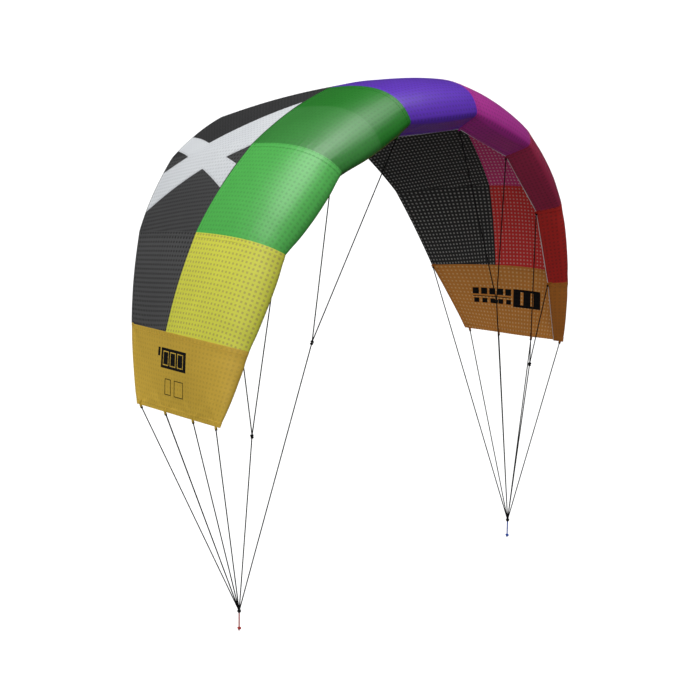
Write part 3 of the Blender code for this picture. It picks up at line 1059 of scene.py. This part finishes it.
class KITE_OT_tip_panels(bpy.types.Operator):
    """Sew the tip panels, one piece from trailing edge to lip"""

    bl_idname = "kite.tip_panels"
    bl_label = "Tip Panels"

    def execute(self, context):
        for side_name, side in SIDES:
            panel_piece(f"{side_name}_tip_panel", 4, side, "whole", cell_tint(side_name, 4))
        return {"FINISHED"}


class KITE_OT_nose_ribs(bpy.types.Operator):
    """Cut the ribs that stand inside the rolled nose, each with a vent"""

    bl_idname = "kite.nose_ribs"
    bl_label = "Nose Ribs"

    def execute(self, context):
        lining = cloth_pair("black")[1]
        for side_name, side in SIDES:
            for i in range(4):
                parts = rib_stretches(i)
                skin = np.vstack([parts["turn"], parts["crease"][1:], parts["flap"][1:]])
                rear = parts["flap"][-1][0] + 0.004
                first = int(np.argmax(parts["turn"][:, 0] < rear))
                edge = spaced(skin[first:], np.linspace(0.0, 1.0, 60))
                close = np.linspace(edge[-1], edge[0], 14)[1:-1]
                middle = (edge.mean(0) + close.mean(0)) / 2.0
                loop = np.vstack([edge, close])
                inward = unit(middle - loop)
                rim = loop + inward * 0.0006
                hole = middle + (loop - middle) * 0.46
                spokes = hole - middle
                mean_spoke = np.linalg.norm(spokes, axis=1).mean()
                hole = middle + 0.72 * spokes + 0.28 * unit(spokes) * mean_spoke
                count = len(loop)
                lean = cut().rib_lean[i]
                across = np.array([side * math.cos(lean), 0.0, -math.sin(lean)])
                sheets = []
                for shift in (-0.00015, 0.00015):
                    for ring in (rim, hole):
                        sheets.append(stood_up(i, side, ring) + across * shift)
                verts = np.concatenate(sheets)
                faces = []
                for k in range(count):
                    n = (k + 1) % count
                    faces.append([k, n, count + n, count + k])
                    faces.append([2 * count + k, 3 * count + k, 3 * count + n, 2 * count + n])
                    faces.append([k, 2 * count + k, 2 * count + n, n])
                    faces.append([count + k, count + n, 3 * count + n, 3 * count + k])
                if side > 0:
                    faces = [f[::-1] for f in faces]
                uv = np.concatenate([rim, hole, rim, hole])
                name = f"{side_name}_nose_rib_{i + 1}"
                piece = new_piece(name + "_cloth", verts, faces, [lining], uv, sharp=50.0)
                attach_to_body(piece, "centre" if i == 0 else side_name + "_wing")
                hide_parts(name)
        return {"FINISHED"}


class KITE_OT_white_cross(bpy.types.Operator):
    """Sew the white band cross on the left wing"""

    bl_idname = "kite.white_cross"
    bl_label = "White Cross"

    # Corners as shares: cells out from the first rib, then along the chord from the rear.
    waist = ((1.05, 0.25), (0.875, 0.40), (1.15, 0.80), (1.275, 0.588))
    arms = (
        ((0.875, 0.006), (0.575, 0.006)),
        ((0.325, 0.992), (1.025, 0.992)),
        ((1.25, 0.992), (1.525, 0.992)),
        ((1.75, 0.006), (1.225, 0.006)),
    )

    def execute(self, context):
        for cell in (1, 2):
            work = bmesh.new()
            corners = [work.verts.new((u, v, 0.0)) for u, v in self.waist]
            work.faces.new(corners)
            for k, (first, second) in enumerate(self.arms):
                far_a = work.verts.new((*first, 0.0))
                far_b = work.verts.new((*second, 0.0))
                work.faces.new((corners[k], far_a, far_b, corners[(k + 1) % 4]))
            for keep, place in ((-1.0, cell), (1.0, cell - 1)):
                bmesh.ops.bisect_plane(
                    work, geom=work.verts[:] + work.edges[:] + work.faces[:], dist=1e-7,
                    plane_co=(place, 0.0, 0.0), plane_no=(keep, 0.0, 0.0), clear_inner=True,
                )
            for axis, count in ((0, 26), (1, 60)):
                for k in range(1, count):
                    spot = [0.0, 0.0, 0.0]
                    spot[axis] = (cell - 1 if axis == 0 else 0) + k / count
                    way = [0.0, 0.0, 0.0]
                    way[axis] = 1.0
                    bmesh.ops.bisect_plane(
                        work, geom=work.verts[:] + work.edges[:] + work.faces[:], dist=1e-7,
                        plane_co=spot, plane_no=way,
                    )
            work.verts.index_update()
            flat = np.array([v.co[:] for v in work.verts])
            border = np.array([v.is_boundary for v in work.verts])
            faces = [[v.index for v in f.verts] for f in work.faces]
            edges = []
            for edge in work.edges:
                if edge.is_boundary:
                    loop = edge.link_loops[0]
                    edges.append((loop.vert.index, loop.link_loop_next.vert.index))
            work.free()
            lifted, place = self.on_wing(cell, flat[:, 0] - (cell - 1), flat[:, 1])
            count = len(flat)
            top = lifted(BAND_TOP - BAND_EDGE_DROP * border)
            low = lifted(np.full(count, BAND_LOW))
            quads = faces + [[i + count for i in f[::-1]] for f in faces]
            quads += [[b, a, a + count, b + count] for a, b in edges]
            a, b, c = faces[0][:3]
            facing = np.cross(top[b] - top[a], top[c] - top[a])
            if np.dot(facing, lifted(np.full(count, 1.0))[a] - top[a]) < 0:
                quads = [f[::-1] for f in quads]
            piece = new_piece(
                f"white_cross_cloth_{cell}", np.concatenate([top, low]), quads,
                [cloth_pair("white")[0]], np.concatenate([place, place]), sharp=55.0,
            )
            attach(piece, cell, -1.0)
            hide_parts("white_cross")
            rows = self.edge_rows(cell)
            thread = gather_rows(f"white_cross_thread_{cell}", [(rows, thread_material("white"))])
            attach(thread, cell, -1.0)
        return {"FINISHED"}

    def edge_rows(self, cell):
        """Stitches just inside the long edges of the bands, within one cell."""
        scale = np.array([cut().cell_width, stretch_length(cell, "rear") / 1000.0])
        share = np.linspace(0.0, 1.0, 160)[:, None]
        rows = []
        for k, (first, second) in enumerate(self.arms):
            pair = ((self.waist[k], first), (self.waist[(k + 1) % 4], second))
            for (corner, end), (across_corner, across_end) in (pair, pair[::-1]):
                line = np.array(corner) * (1 - share) + np.array(end) * share
                beside = np.array(across_corner) * (1 - share) + np.array(across_end) * share
                line = line + unit((beside - line) * scale) * 0.0018 / scale
                kept = line[(line[:, 0] > cell - 0.996) & (line[:, 0] < cell - 0.004)]
                kept = kept[(kept[:, 1] > 0.012) & (kept[:, 1] < 0.984)]
                if len(kept) < 8:
                    continue
                lifted = self.on_wing(cell, kept[:, 0] - (cell - 1), kept[:, 1])[0]
                low = lifted(np.full(len(kept), BAND_THREAD))
                high = lifted(np.full(len(kept), BAND_THREAD + 0.001))
                rows.append(stitch_row(low, unit(high - low)))
        return rows

    def on_wing(self, cell, across, along):
        """Function that lifts the given cloth places off the left wing, and their UV."""
        widths = np.linspace(0.0, 1.0, 53)
        shares = np.linspace(0.0, 1.0, 121)
        points, out, run, width = cell_cloth(cell, -1.0, widths, [("rear", shares)])
        a = np.clip(across, 0, 1) * (len(widths) - 1)
        b = np.clip(along, 0, 1) * (len(shares) - 1)
        i = np.minimum(a.astype(int), len(widths) - 2)
        j = np.minimum(b.astype(int), len(shares) - 2)
        s, t = (a - i)[:, None], (b - j)[:, None]

        def mixed(grid):
            """Values of a grid at the given cloth places."""
            near = grid[j, i] * (1 - s) + grid[j, i + 1] * s
            far = grid[j + 1, i] * (1 - s) + grid[j + 1, i + 1] * s
            return near * (1 - t) + far * t

        base, normal = mixed(points), unit(mixed(out))
        inboard = across * width[j]
        fold = step_up(inboard, cloth().hem, SEAM_RISE)
        hem = step_up(along * run[-1], cloth().hem, HEM_RISE)
        body = cloth().thickness / 2 + np.maximum(fold, hem)
        place = np.stack([inboard, along * run[-1]], axis=1)
        return (lambda lift: base + normal * (body + lift - BAND_LOW)[:, None]), place


class KITE_OT_hems(bpy.types.Operator):
    """Roll the cord hems along the lip and the trailing edge"""

    bl_idname = "kite.hems"
    bl_label = "Hems"

    def execute(self, context):
        dark = cord_material("Hem Binding", (0.020, 0.020, 0.021), 500.0, 0.62)
        pale = cord_material("Lip Piping", (0.88, 0.84, 0.84), 500.0, 0.55)
        for side_name, side, cells in CELLS:
            for cell in cells:
                rear_mat = thread_material(cell_tint(side_name, 4)) if cell == 4 else dark
                for label, stretch, share, radius, mat in (
                    ("trailing_hem", "rear", 0.0, 0.0007, rear_mat),
                    ("lip_hem", "flap", 1.0, 0.00065, pale),
                ):
                    widths = np.linspace(0.0, 1.0, 29)
                    near = 0.004 if share == 0.0 else 0.996
                    pair = cell_cloth(cell, side, widths, [(stretch, np.sort([share, near]))])[0]
                    edge, inner = (pair[0], pair[1]) if share == 0.0 else (pair[1], pair[0])
                    path = edge + unit(edge - inner) * radius * 0.5
                    piece = tube(f"{side_name}_{label}_cord_{cell}", path, radius, [mat], 8)
                    attach(piece, cell, side)
                    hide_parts(f"{side_name}_{label}")
        return {"FINISHED"}


class KITE_OT_stitching(bpy.types.Operator):
    """Run the thread along every seam and hem"""

    bl_idname = "kite.stitching"
    bl_label = "Stitching"

    def execute(self, context):
        for side_name, side, cells in CELLS:
            for cell in cells:
                rear_rows, nose_rows = [], []
                fine = np.linspace(0.0, 1.0, 70)
                rear = [("rear", fine)]
                crease = np.linspace(0, 1, 9)[1:]
                nose = [("turn", fine), ("crease", crease), ("flap", np.linspace(0, 1, 20)[1:])]
                wide = panel_width(cell)
                edges = []
                if cell > 0:
                    edges += [(away / wide, SEAM_RISE, SEAM_SINK) for away in SEAM_ROWS]
                if cell == 4:
                    over = HEM_THREAD_RISE
                    edges += [(1.0 - away / wide, over, over) for away in HEM_ROWS]
                for share, top, low in edges:
                    for runs, rows in ((rear, rear_rows), (nose, nose_rows)):
                        points, out = cell_cloth(cell, side, [share], runs)[:2]
                        for face, proud in ((1.0, top), (-1.0, low)):
                            row = points[:, 0] + out[:, 0] * face * (cloth().thickness / 2 + proud)
                            rows.append(stitch_row(row, out[:, 0] * face))
                ends = [("rear", 0.0, 1, rear_rows), ("flap", 1.0, -1, nose_rows)]
                if cell < 4:
                    ends.append(("turn", 0.0, 1, nose_rows))
                for stretch, share, way, rows in ends:
                    total = stretch_length(cell, stretch) / 1000.0
                    for away in HEM_ROWS:
                        at = share + way * away / total
                        ends_clear = np.linspace(0.01, 0.99, 40)
                        runs = [(stretch, np.sort([at, at + 0.004]))]
                        points, out = cell_cloth(cell, side, ends_clear, runs)[:2]
                        for face in (1.0, -1.0):
                            if stretch == "turn" and face < 0:
                                continue
                            height = cloth().thickness / 2 + HEM_THREAD_RISE
                            row = points[0] + out[0] * face * height
                            rows.append(stitch_row(row, out[0] * face))
                tint = cell_tint(side_name, cell)
                rear_thread = thread_material(tint if cell == 4 else "black")
                piece = gather_rows(
                    f"{side_name}_thread_{cell}",
                    [(rear_rows, rear_thread), (nose_rows, thread_material(tint))],
                )
                attach(piece, cell, side)
        return {"FINISHED"}


# ---------------------------------------------------------------- tabs, lines and knots


def ribbon(path, across, width, thick):
    """Points and faces of a flat tape along a path, lying along the across direction."""
    path = np.asarray(path, float)
    across = np.asarray(across, float)
    tangent = unit(np.gradient(path, axis=0))
    beside = unit(across - tangent * (tangent @ across)[:, None])
    out = np.cross(tangent, beside)
    shape = ((-1, -0.6), (-0.86, -1), (0.86, -1), (1, -0.6), (1, 0.6), (0.86, 1), (-0.86, 1), (-1, 0.6))
    rings = np.stack(
        [path + beside * (a * width / 2) + out * (b * thick / 2) for a, b in shape], axis=1
    )
    n = len(shape)
    faces = []
    for k in range(len(path) - 1):
        for s in range(n):
            after = (s + 1) % n
            faces.append([k * n + s, k * n + after, (k + 1) * n + after, (k + 1) * n + s])
    faces.append(list(range(n))[::-1])
    faces.append([(len(path) - 1) * n + s for s in range(n)])
    run = np.concatenate([[0.0], np.cumsum(np.linalg.norm(np.diff(path, axis=0), axis=1))])
    side_place = np.array([a * width / 2 for a, b in shape])
    uv = np.stack([np.tile(side_place * 40, len(path)), np.repeat(run, n)], axis=1)
    return rings.reshape(-1, 3), faces, uv


def tab_mesh(name, edge, into, outward, across, aim, mat):
    """Loop of tape sewn over a cloth edge, with its eye towards aim."""
    r = rigging()
    aim = unit(aim)
    reach = r.tab_reach
    lap_and_painted_light_from = 0.007
    eye = 0.0012
    side_way = unit(np.cross(across, aim))
    if np.dot(side_way, outward) < 0:
        side_way = -side_way
    lift = cloth().thickness / 2 + 0.00055
    path = [
        edge + into * lap_and_painted_light_from + outward * lift,
        edge + into * lap_and_painted_light_from * 0.5 + outward * lift,
        edge + into * 0.001 + outward * lift,
    ]
    path.append(edge + aim * (reach * 0.45) + side_way * eye * 0.8)
    for k in range(7):
        t = math.pi * k / 6
        path.append(edge + aim * (reach - eye + eye * math.sin(t)) + side_way * eye * math.cos(t))
    path.append(edge + aim * (reach * 0.45) - side_way * eye * 0.8)
    path += [
        edge + into * 0.001 - outward * lift,
        edge + into * lap_and_painted_light_from * 0.5 - outward * lift,
        edge + into * lap_and_painted_light_from - outward * lift,
    ]
    path = spaced(np.array(path), np.linspace(0, 1, 40))
    verts, faces, uv = ribbon(path, across, r.tab_width, 0.0006)
    return new_piece(name, verts, faces, [mat], uv, sharp=45.0)


def trefoil(name, centre, axis, size, radius, mats, turn=0.0):
    """A drawn-up overhand knot about an axis."""
    t = np.linspace(0.0, 2 * math.pi, 54, endpoint=False)
    x = np.sin(t) + 2 * np.sin(2 * t)
    y = np.cos(t) - 2 * np.cos(2 * t)
    z = -np.sin(3 * t) * 1.25
    scale = size / 3.0
    axis = Vector(axis).normalized()
    spin = axis.to_track_quat("Z", "Y").to_matrix() @ Matrix.Rotation(turn, 3, "Z")
    path = (np.array(spin) @ (np.stack([x, y, z]) * scale)).T + np.asarray(centre)
    return tube(name, path, radius, mats, 8, True)


def rig_side(side_name, side):
    """Places of the knots of one side."""
    r = rigging()
    flip = np.array([side, 1.0, 1.0])
    tow = np.array(JOINTS[side_name + "_gather_swing"]["pos_m"])
    return (
        np.array(r.knot_up) * flip - hold_point(),
        np.array(r.knot_low) * flip - hold_point(),
        tow,
    )


def line_piece(name, start, stop, body, node, mat):
    """A taut bridle line between two points, put on its body."""
    r = rigging()
    path = start + (stop - start) * np.linspace(0.0, 1.0, 25)[:, None]
    piece = tube(name, path, r.line / 2, [mat], 8)
    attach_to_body(piece, body)
    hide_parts(node)


def lip_frame(i, side):
    """Edge point, direction into the cloth, outward normal and span direction at a lip corner."""
    cell = i + 1
    points, out = cell_cloth(cell, side, [0.0, 0.02], [("flap", np.array([0.8, 1.0]))], False)[:2]
    edge = points[1, 0]
    into = unit(points[0, 0] - edge)
    last = max(i - 1, 0)
    before = stood_up(last, side if i > 0 else -side, rib_stretches(last)["flap"][-1])[0]
    after = stood_up(i + 1, side, rib_stretches(i + 1)["flap"][-1])[0]
    across = unit(after - before)
    outward = unit(np.cross(across, into))
    if np.dot(outward, out[1, 0]) < 0:
        outward = -outward
    return edge, into, outward, across


class KITE_OT_bridle(bpy.types.Operator):
    """Tie the tape loops, bridle lines, gathered knots and leaders"""

    bl_idname = "kite.bridle"
    bl_label = "Bridle"

    def execute(self, context):
        r = rigging()
        line_mat = cord_material("Bridle Line", tuple(r.black), 600.0, 0.6, 0.0)
        for side_name, side in SIDES:
            wing = side_name + "_wing"
            up, low, tow = rig_side(side_name, side)
            joins = ((0, "inner", up), (1, "inner", up), (2, "outer", low), (3, "outer", low))
            for i, label, knot in joins:
                edge, into, outward, across = lip_frame(i, side)
                aim = unit(knot - edge)
                tape = thread_material(cell_tint(side_name, i + 1))
                tab = tab_mesh(f"{side_name}_lip_tab_{i + 1}", edge, into, outward, across, aim, tape)
                if i == 0:
                    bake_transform(tab)
                else:
                    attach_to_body(tab, wing)
                start = edge + aim * (r.tab_reach + HITCH_GAP)
                hitch = trefoil(
                    f"{side_name}_lip_hitch_{i + 1}", start, aim, HITCH_SIZE, r.line / 2, [line_mat], i,
                )
                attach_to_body(hitch, wing)
                branch = f"{side_name}_{label}_branch"
                line_piece(f"{branch}_{i + 1}", start, knot, wing, branch, line_mat)
            for label, knot in (("inner", up), ("outer", low)):
                down = unit(tow - knot)
                below = knot + down * KNOT_APART
                first = trefoil("knot_top", knot, down, KNOT_TOP_SIZE, r.line * 0.5, [line_mat])
                second = trefoil(
                    "knot_low", below, down, KNOT_LOW_SIZE, r.line * 0.5, [line_mat], 1.0,
                )
                piece = merge(f"{side_name}_{label}_cascade", [first, second])
                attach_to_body(piece, wing)
                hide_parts(f"{side_name}_{label}_knot")
                line_piece(
                    f"{side_name}_{label}_main", knot + down * MAIN_START, tow - down * BALL_ROOM,
                    wing, f"{side_name}_{label}_main_line", line_mat,
                )
            tip_tape = thread_material(cell_tint(side_name, 4))
            self.tip_lines(side_name, side, tow, line_mat, tip_tape)
            self.gather(side_name, side, tow, line_mat)
        return {"FINISHED"}

    def tip_lines(self, side_name, side, tow, line_mat, tape):
        """Lines from the tip's lower edge and from the rear corner above it, with their loops."""
        r = rigging()
        wing = side_name + "_wing"
        spots = []
        for k, share in enumerate(r.tip_places):
            edge = tip_edge_point(side, share)
            ahead = tip_edge_point(side, min(share + 0.02, 0.99))
            behind = tip_edge_point(side, max(share - 0.02, 0.0))
            upper = stood_up(3, side, rib_stretches(3)["rear"][-1])[0]
            across = unit(ahead - behind)
            into = upper - edge
            into = unit(into - across * np.dot(into, across))
            inset = 0.004 * (1 if k == 0 else -1 if k == 3 else 0)
            edge = edge + across * inset
            outward = unit(np.cross(across, into))
            if outward[0] * side < 0:
                outward = -outward
            spots.append((f"tip_tab_{k + 1}", f"tip_line_{k + 1}", edge, into, outward, across))
        corner = stood_up(3, side, rib_stretches(3)["rear"][0])[0]
        back = unit(corner - stood_up(3, side, rib_stretches(3)["rear"][40])[0])
        beyond = stood_up(4, side, rib_stretches(4)["rear"][0])[0]
        before = stood_up(2, side, rib_stretches(2)["rear"][0])[0]
        span = unit(beyond - before)
        outward = unit(np.cross(span, back))
        if outward[0] * side < 0:
            outward = -outward
        spots.append(("trailing_tab", "trailing_line", corner, -back, outward, span))
        for tab_name, line, edge, into, outward, across in spots:
            aim = unit(tow - edge)
            tab = tab_mesh(f"{side_name}_{tab_name}", edge, into, outward, across, aim, tape)
            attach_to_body(tab, wing)
            start = edge + aim * (r.tab_reach + HITCH_GAP)
            hitch = trefoil(
                f"{side_name}_{tab_name}_hitch", start, aim, HITCH_SIZE, r.line / 2, [line_mat],
            )
            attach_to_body(hitch, wing)
            node = f"{side_name}_{line}"
            line_piece(f"{node}_cord", start, tow - aim * BALL_ROOM, wing, node, line_mat)

    def gather(self, side_name, side, tow, line_mat):
        """Ball of turns where the lines meet, then the coloured leader and its stopper."""
        r = rigging()
        turns = []
        t = np.linspace(0.0, 2 * math.pi, 40, endpoint=False)
        for axis in range(3):
            for shift in (-TURN_APART, 0.0, TURN_APART):
                size = BALL_SIZE + (BALL_BULGE if shift == 0.0 else 0.0)
                ring = np.zeros((40, 3))
                ring[:, (axis + 1) % 3] = size * np.cos(t)
                ring[:, (axis + 2) % 3] = size * np.sin(t)
                ring[:, axis] = shift * (1.0 + 0.12 * np.sin(2 * t))
                turns.append(tube("turn", ring + tow, TURN_RADIUS, [line_mat], 8, True))
        middle = tow + np.array([[0, 0, z] for z in np.linspace(-CORE_HALF, CORE_HALF, 9)])
        swelling = CORE_SIZE * np.sqrt(1 - (np.linspace(-0.92, 0.92, 9)) ** 2)
        core = tube("core", middle, CORE_SIZE, [line_mat], 10, radii=swelling)
        piece = merge(f"{side_name}_gather_knot", turns + [core])
        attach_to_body(piece, side_name + "_gather")
        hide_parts(f"{side_name}_tow_knot")
        tint = tuple(r.red) if side < 0 else tuple(r.blue)
        mat = cord_material("Red Leader" if side < 0 else "Blue Leader", tint, 380.0, 0.5)
        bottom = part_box(f"{side_name}_leader")[0][2]
        path = np.array([[tow[0], tow[1], z] for z in np.linspace(tow[2], bottom + 0.0002, 22)])
        radii = np.full(22, r.leader / 2)
        radii[-1] *= 0.86
        cord = tube(f"{side_name}_leader_cord", path, r.leader / 2, [mat], 12, radii=radii)
        body = side_name + "_leader"
        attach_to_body(cord, body)
        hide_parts(f"{side_name}_leader")
        ring_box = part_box(f"{side_name}_stopper_knot")
        centre = (np.array(ring_box[0]) + np.array(ring_box[1])) / 2
        knot = trefoil(
            f"{side_name}_stopper", centre, (0, 0, 1), STOPPER_SIZE, r.leader * 0.46, [mat],
        )
        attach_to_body(knot, body)
        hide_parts(f"{side_name}_stopper_knot")


class KITE_OT_tip_marks(bpy.types.Operator):
    """Print the plain blocks and bars on the tips"""

    bl_idname = "kite.tip_marks"
    bl_label = "Tip Marks"

    def execute(self, context):
        # Each block is two shares down the tip, then two places along it in metres.
        ink = print_material("Tip Print", (0.010, 0.010, 0.011))
        rail = 0.0013
        block = [((0.200, 0.450), (0.0454, -0.018)), ((0.205, 0.310), (0.0550, 0.0490))]
        outlines = [((0.575, 0.780), (0.033, 0.018)), ((0.575, 0.780), (0.010, -0.012))]
        drawn = []
        for (top, low), (rear, front) in outlines:
            thin = 0.010
            drawn += [((top, top + thin), (rear, front)), ((low - thin, low), (rear, front))]
            between = (top + thin, low - thin)
            drawn += [(between, (rear, rear - rail)), (between, (front + rail, front))]
        self.marks("left", -1.0, block + drawn, ink)
        pale = print_material("Bare Cloth Line", (0.62, 0.41, 0.06))
        inset = []
        for rear in (0.0400, 0.0215, 0.0030):
            for (top, low) in ((0.235, 0.247), (0.403, 0.415)):
                inset.append(((top, low), (rear, rear - 0.0145)))
            inset.append(((0.247, 0.403), (rear, rear - rail)))
            inset.append(((0.247, 0.403), (rear - 0.0145 + rail, rear - 0.0145)))
        self.marks("left_inset", -1.0, inset, pale, 0.00016)
        right = [((0.34, 0.60), (0.004 - 0.020 * k, -0.010 - 0.020 * k)) for k in range(3)]
        right += [((0.34, 0.375), (0.004, -0.050)), ((0.565, 0.60), (0.004, -0.050))]
        right += [((0.350, 0.445), (0.082 - 0.0155 * k, 0.0705 - 0.0155 * k)) for k in range(5)]
        right += [((0.470, 0.482), (0.082, 0.0085))]
        right += [((0.505, 0.575), (0.080 - 0.0155 * k, 0.0705 - 0.0155 * k)) for k in range(5)]
        self.marks("right", 1.0, right, ink)
        return {"FINISHED"}

    def marks(self, name, side, boxes, mat, proud=0.0001):
        """Blocks of one ink on both faces of a tip."""
        for face, label in ((1.0, "outer"), (-1.0, "inner")):
            made = []
            for (top, low), (rear, front) in boxes:
                made.append(self.block(side, top, low, rear, front, face, mat, proud))
            piece = merge(f"{name}_tip_mark_{label}", made)
            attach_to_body(piece, name.split("_")[0] + "_wing")

    def block(self, side, top, low, rear, front, face, mat, proud):
        """A thin printed block between two shares down the tip and two places along it."""
        widths = np.linspace(top, low, 8)
        parts = [("rear", np.linspace(0, 1, 60)), ("turn", np.linspace(0, 1, 80)[1:])]
        points, out, run, width = cell_cloth(4, side, widths, parts)
        grid, normals = [], []
        for k in range(len(widths)):
            order = np.argsort(points[:, k, 1])
            y = points[order, k, 1] + hold_point()[1]
            want = np.linspace(rear, front, 24)
            grid.append(np.stack([np.interp(want, y, points[order, k, j]) for j in range(3)], axis=1))
            normals.append(np.stack([np.interp(want, y, out[order, k, j]) for j in range(3)], axis=1))
        grid, normals = np.stack(grid, axis=1), unit(np.stack(normals, axis=1))
        base = cloth().thickness / 2
        top_face = grid + normals * face * (base + proud)
        under_face = grid + normals * face * (base - 0.00005)
        verts, faces = shell(top_face, under_face, (side < 0) != (face < 0))[:2]
        uv = np.concatenate([grid.reshape(-1, 3)[:, 1:], grid.reshape(-1, 3)[:, 1:]])
        return new_piece("block", verts, faces, [mat], uv, sharp=50.0)


# ---------------------------------------------------------------- stage


# Each light: its setting, how wide it is in degrees, the way towards it and whether it glints.
LIGHTS = (
    ("key", 50.0, (-0.36, 0.08, 0.93), True),
    ("front", 50.0, (0.20, -0.16, 0.967), True),
    ("fill", 70.0, (-0.90, -0.35, 0.25), False),
    ("side", 70.0, (0.90, 0.30, 0.25), False),
)
# How pale the floor looks in the cloth's gloss.
FLOOR_IN_GLOSS = 0.015


class KITE_OT_stage(bpy.types.Operator):
    """Lay the pale floor and set the soft light and the camera"""

    bl_idname = "kite.stage"
    bl_label = "Stage"

    def execute(self, context):
        scene = context.scene
        s = scene.kite_stage
        corners = [(x * 90, y * 90, -s.floor_drop) for x, y in ((-1, -1), (1, -1), (1, 1), (-1, 1))]
        floor = new_piece("pale_floor", corners, [[0, 1, 2, 3]], [self.floor_material()])
        world = bpy.data.worlds.new("Even Sky")
        world.use_nodes = True
        w = Wiring(world.node_tree)
        sky = world.node_tree.nodes["Background"]
        sky.inputs[0].default_value = (0.985, 0.99, 1.0, 1.0)
        path = w.node("ShaderNodeLightPath")
        dimmed = w.math("MULTIPLY", path.outputs["Is Glossy Ray"], s.sky - s.mirrored_sky)
        seen = w.math("MULTIPLY", path.outputs["Is Camera Ray"], 1.02 - s.sky)
        w.join(w.math("ADD", w.math("SUBTRACT", s.sky, dimmed), seen), sky.inputs[1])
        scene.world = world
        for label, spread, toward, glint in LIGHTS:
            name = label + "_light"
            light = bpy.data.lights.new(name, "SUN")
            light.energy = getattr(s, label)
            light.angle = math.radians(spread)
            lamp = bpy.data.objects.new(name, light)
            lamp.rotation_mode = "QUATERNION"
            lamp.rotation_quaternion = Vector(toward).to_track_quat("Z", "Y")
            lamp.visible_glossy = glint
            scene.collection.objects.link(lamp)
        camera = bpy.data.cameras.new("studio_camera")
        camera.lens = s.camera_lens
        camera.sensor_width = 36.0
        camera.clip_end = 300.0
        obj = bpy.data.objects.new("studio_camera", camera)
        a, e = s.camera_turn, s.camera_height
        back = Vector((math.sin(a) * math.cos(e), -math.cos(a) * math.cos(e), math.sin(e)))
        right = Vector((math.cos(a), math.sin(a), 0.0))
        up = back.cross(right)
        roll = s.camera_roll
        x = right * math.cos(roll) + up * math.sin(roll)
        y = up * math.cos(roll) - right * math.sin(roll)
        place = Vector(s.camera_target) + back * s.camera_distance
        turn = Matrix((x, y, back)).transposed().to_4x4()
        obj.matrix_world = Matrix.Translation(place) @ turn
        scene.collection.objects.link(obj)
        scene.camera = obj
        scene.view_settings.view_transform = "Standard"
        return {"FINISHED"}

    def floor_material(self):
        """Pale to look at, but throwing little light back, so the cloth's underside stays dark."""
        mat = bpy.data.materials.new("Pale Floor")
        mat.use_nodes = True
        w = Wiring(mat.node_tree)
        shader = mat.node_tree.nodes["Principled BSDF"]
        shader.inputs["Roughness"].default_value = 0.9
        shader.inputs["Specular IOR Level"].default_value = 0.1
        place = w.node("ShaderNodeTexCoord")
        cloud = w.noise(place.outputs["Object"], 0.6, 2.0, 0.5)
        pale = w.blend(cloud, (0.97, 0.97, 0.97, 1.0), (0.98, 0.98, 0.98, 1.0))
        path = w.node("ShaderNodeLightPath")
        thrown = bpy.context.scene.kite_stage.bounce
        in_gloss = (FLOOR_IN_GLOSS, FLOOR_IN_GLOSS, FLOOR_IN_GLOSS, 1.0)
        mirrored = w.blend(path.outputs["Is Diffuse Ray"], in_gloss, (thrown, thrown, thrown, 1.0))
        w.join(w.blend(path.outputs["Is Camera Ray"], mirrored, pale), shader.inputs["Base Color"])
        return mat


class KITE_PT_panel(bpy.types.Panel):
    """Lists the kite's pieces"""

    bl_idname = "KITE_PT_panel"
    bl_label = "Two-line Kite"
    bl_space_type = "VIEW_3D"
    bl_region_type = "UI"
    bl_category = "Kite"

    def draw(self, context):
        column = self.layout.column(align=True)
        for step in STEPS:
            column.operator(step.bl_idname)


SETTINGS = (
    (KiteCutSettings, "kite_cut"),
    (KiteClothSettings, "kite_cloth"),
    (KiteRiggingSettings, "kite_rigging"),
    (KiteStageSettings, "kite_stage"),
)
STEPS = (
    KITE_OT_stage,
    KITE_OT_bridle,
    KITE_OT_rear_panels,
    KITE_OT_nose_panels,
    KITE_OT_tip_panels,
    KITE_OT_nose_ribs,
    KITE_OT_white_cross,
    KITE_OT_hems,
    KITE_OT_stitching,
    KITE_OT_tip_marks,
)


def register():
    """Add the settings, the operators and the panel."""
    for group, name in SETTINGS:
        bpy.utils.register_class(group)
        setattr(bpy.types.Scene, name, PointerProperty(type=group))
    for step in STEPS:
        bpy.utils.register_class(step)
    bpy.utils.register_class(KITE_PT_panel)


def unregister():
    """Take them off again, last first."""
    bpy.utils.unregister_class(KITE_PT_panel)
    for step in reversed(STEPS):
        bpy.utils.unregister_class(step)
    for group, name in reversed(SETTINGS):
        delattr(bpy.types.Scene, name)
        bpy.utils.unregister_class(group)


def main():
    """Make the kite."""
    register()
    for step in STEPS:
        area, name = step.bl_idname.split(".")
        getattr(getattr(bpy.ops, area), name)()
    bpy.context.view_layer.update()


if __name__ == "__main__":
    main()
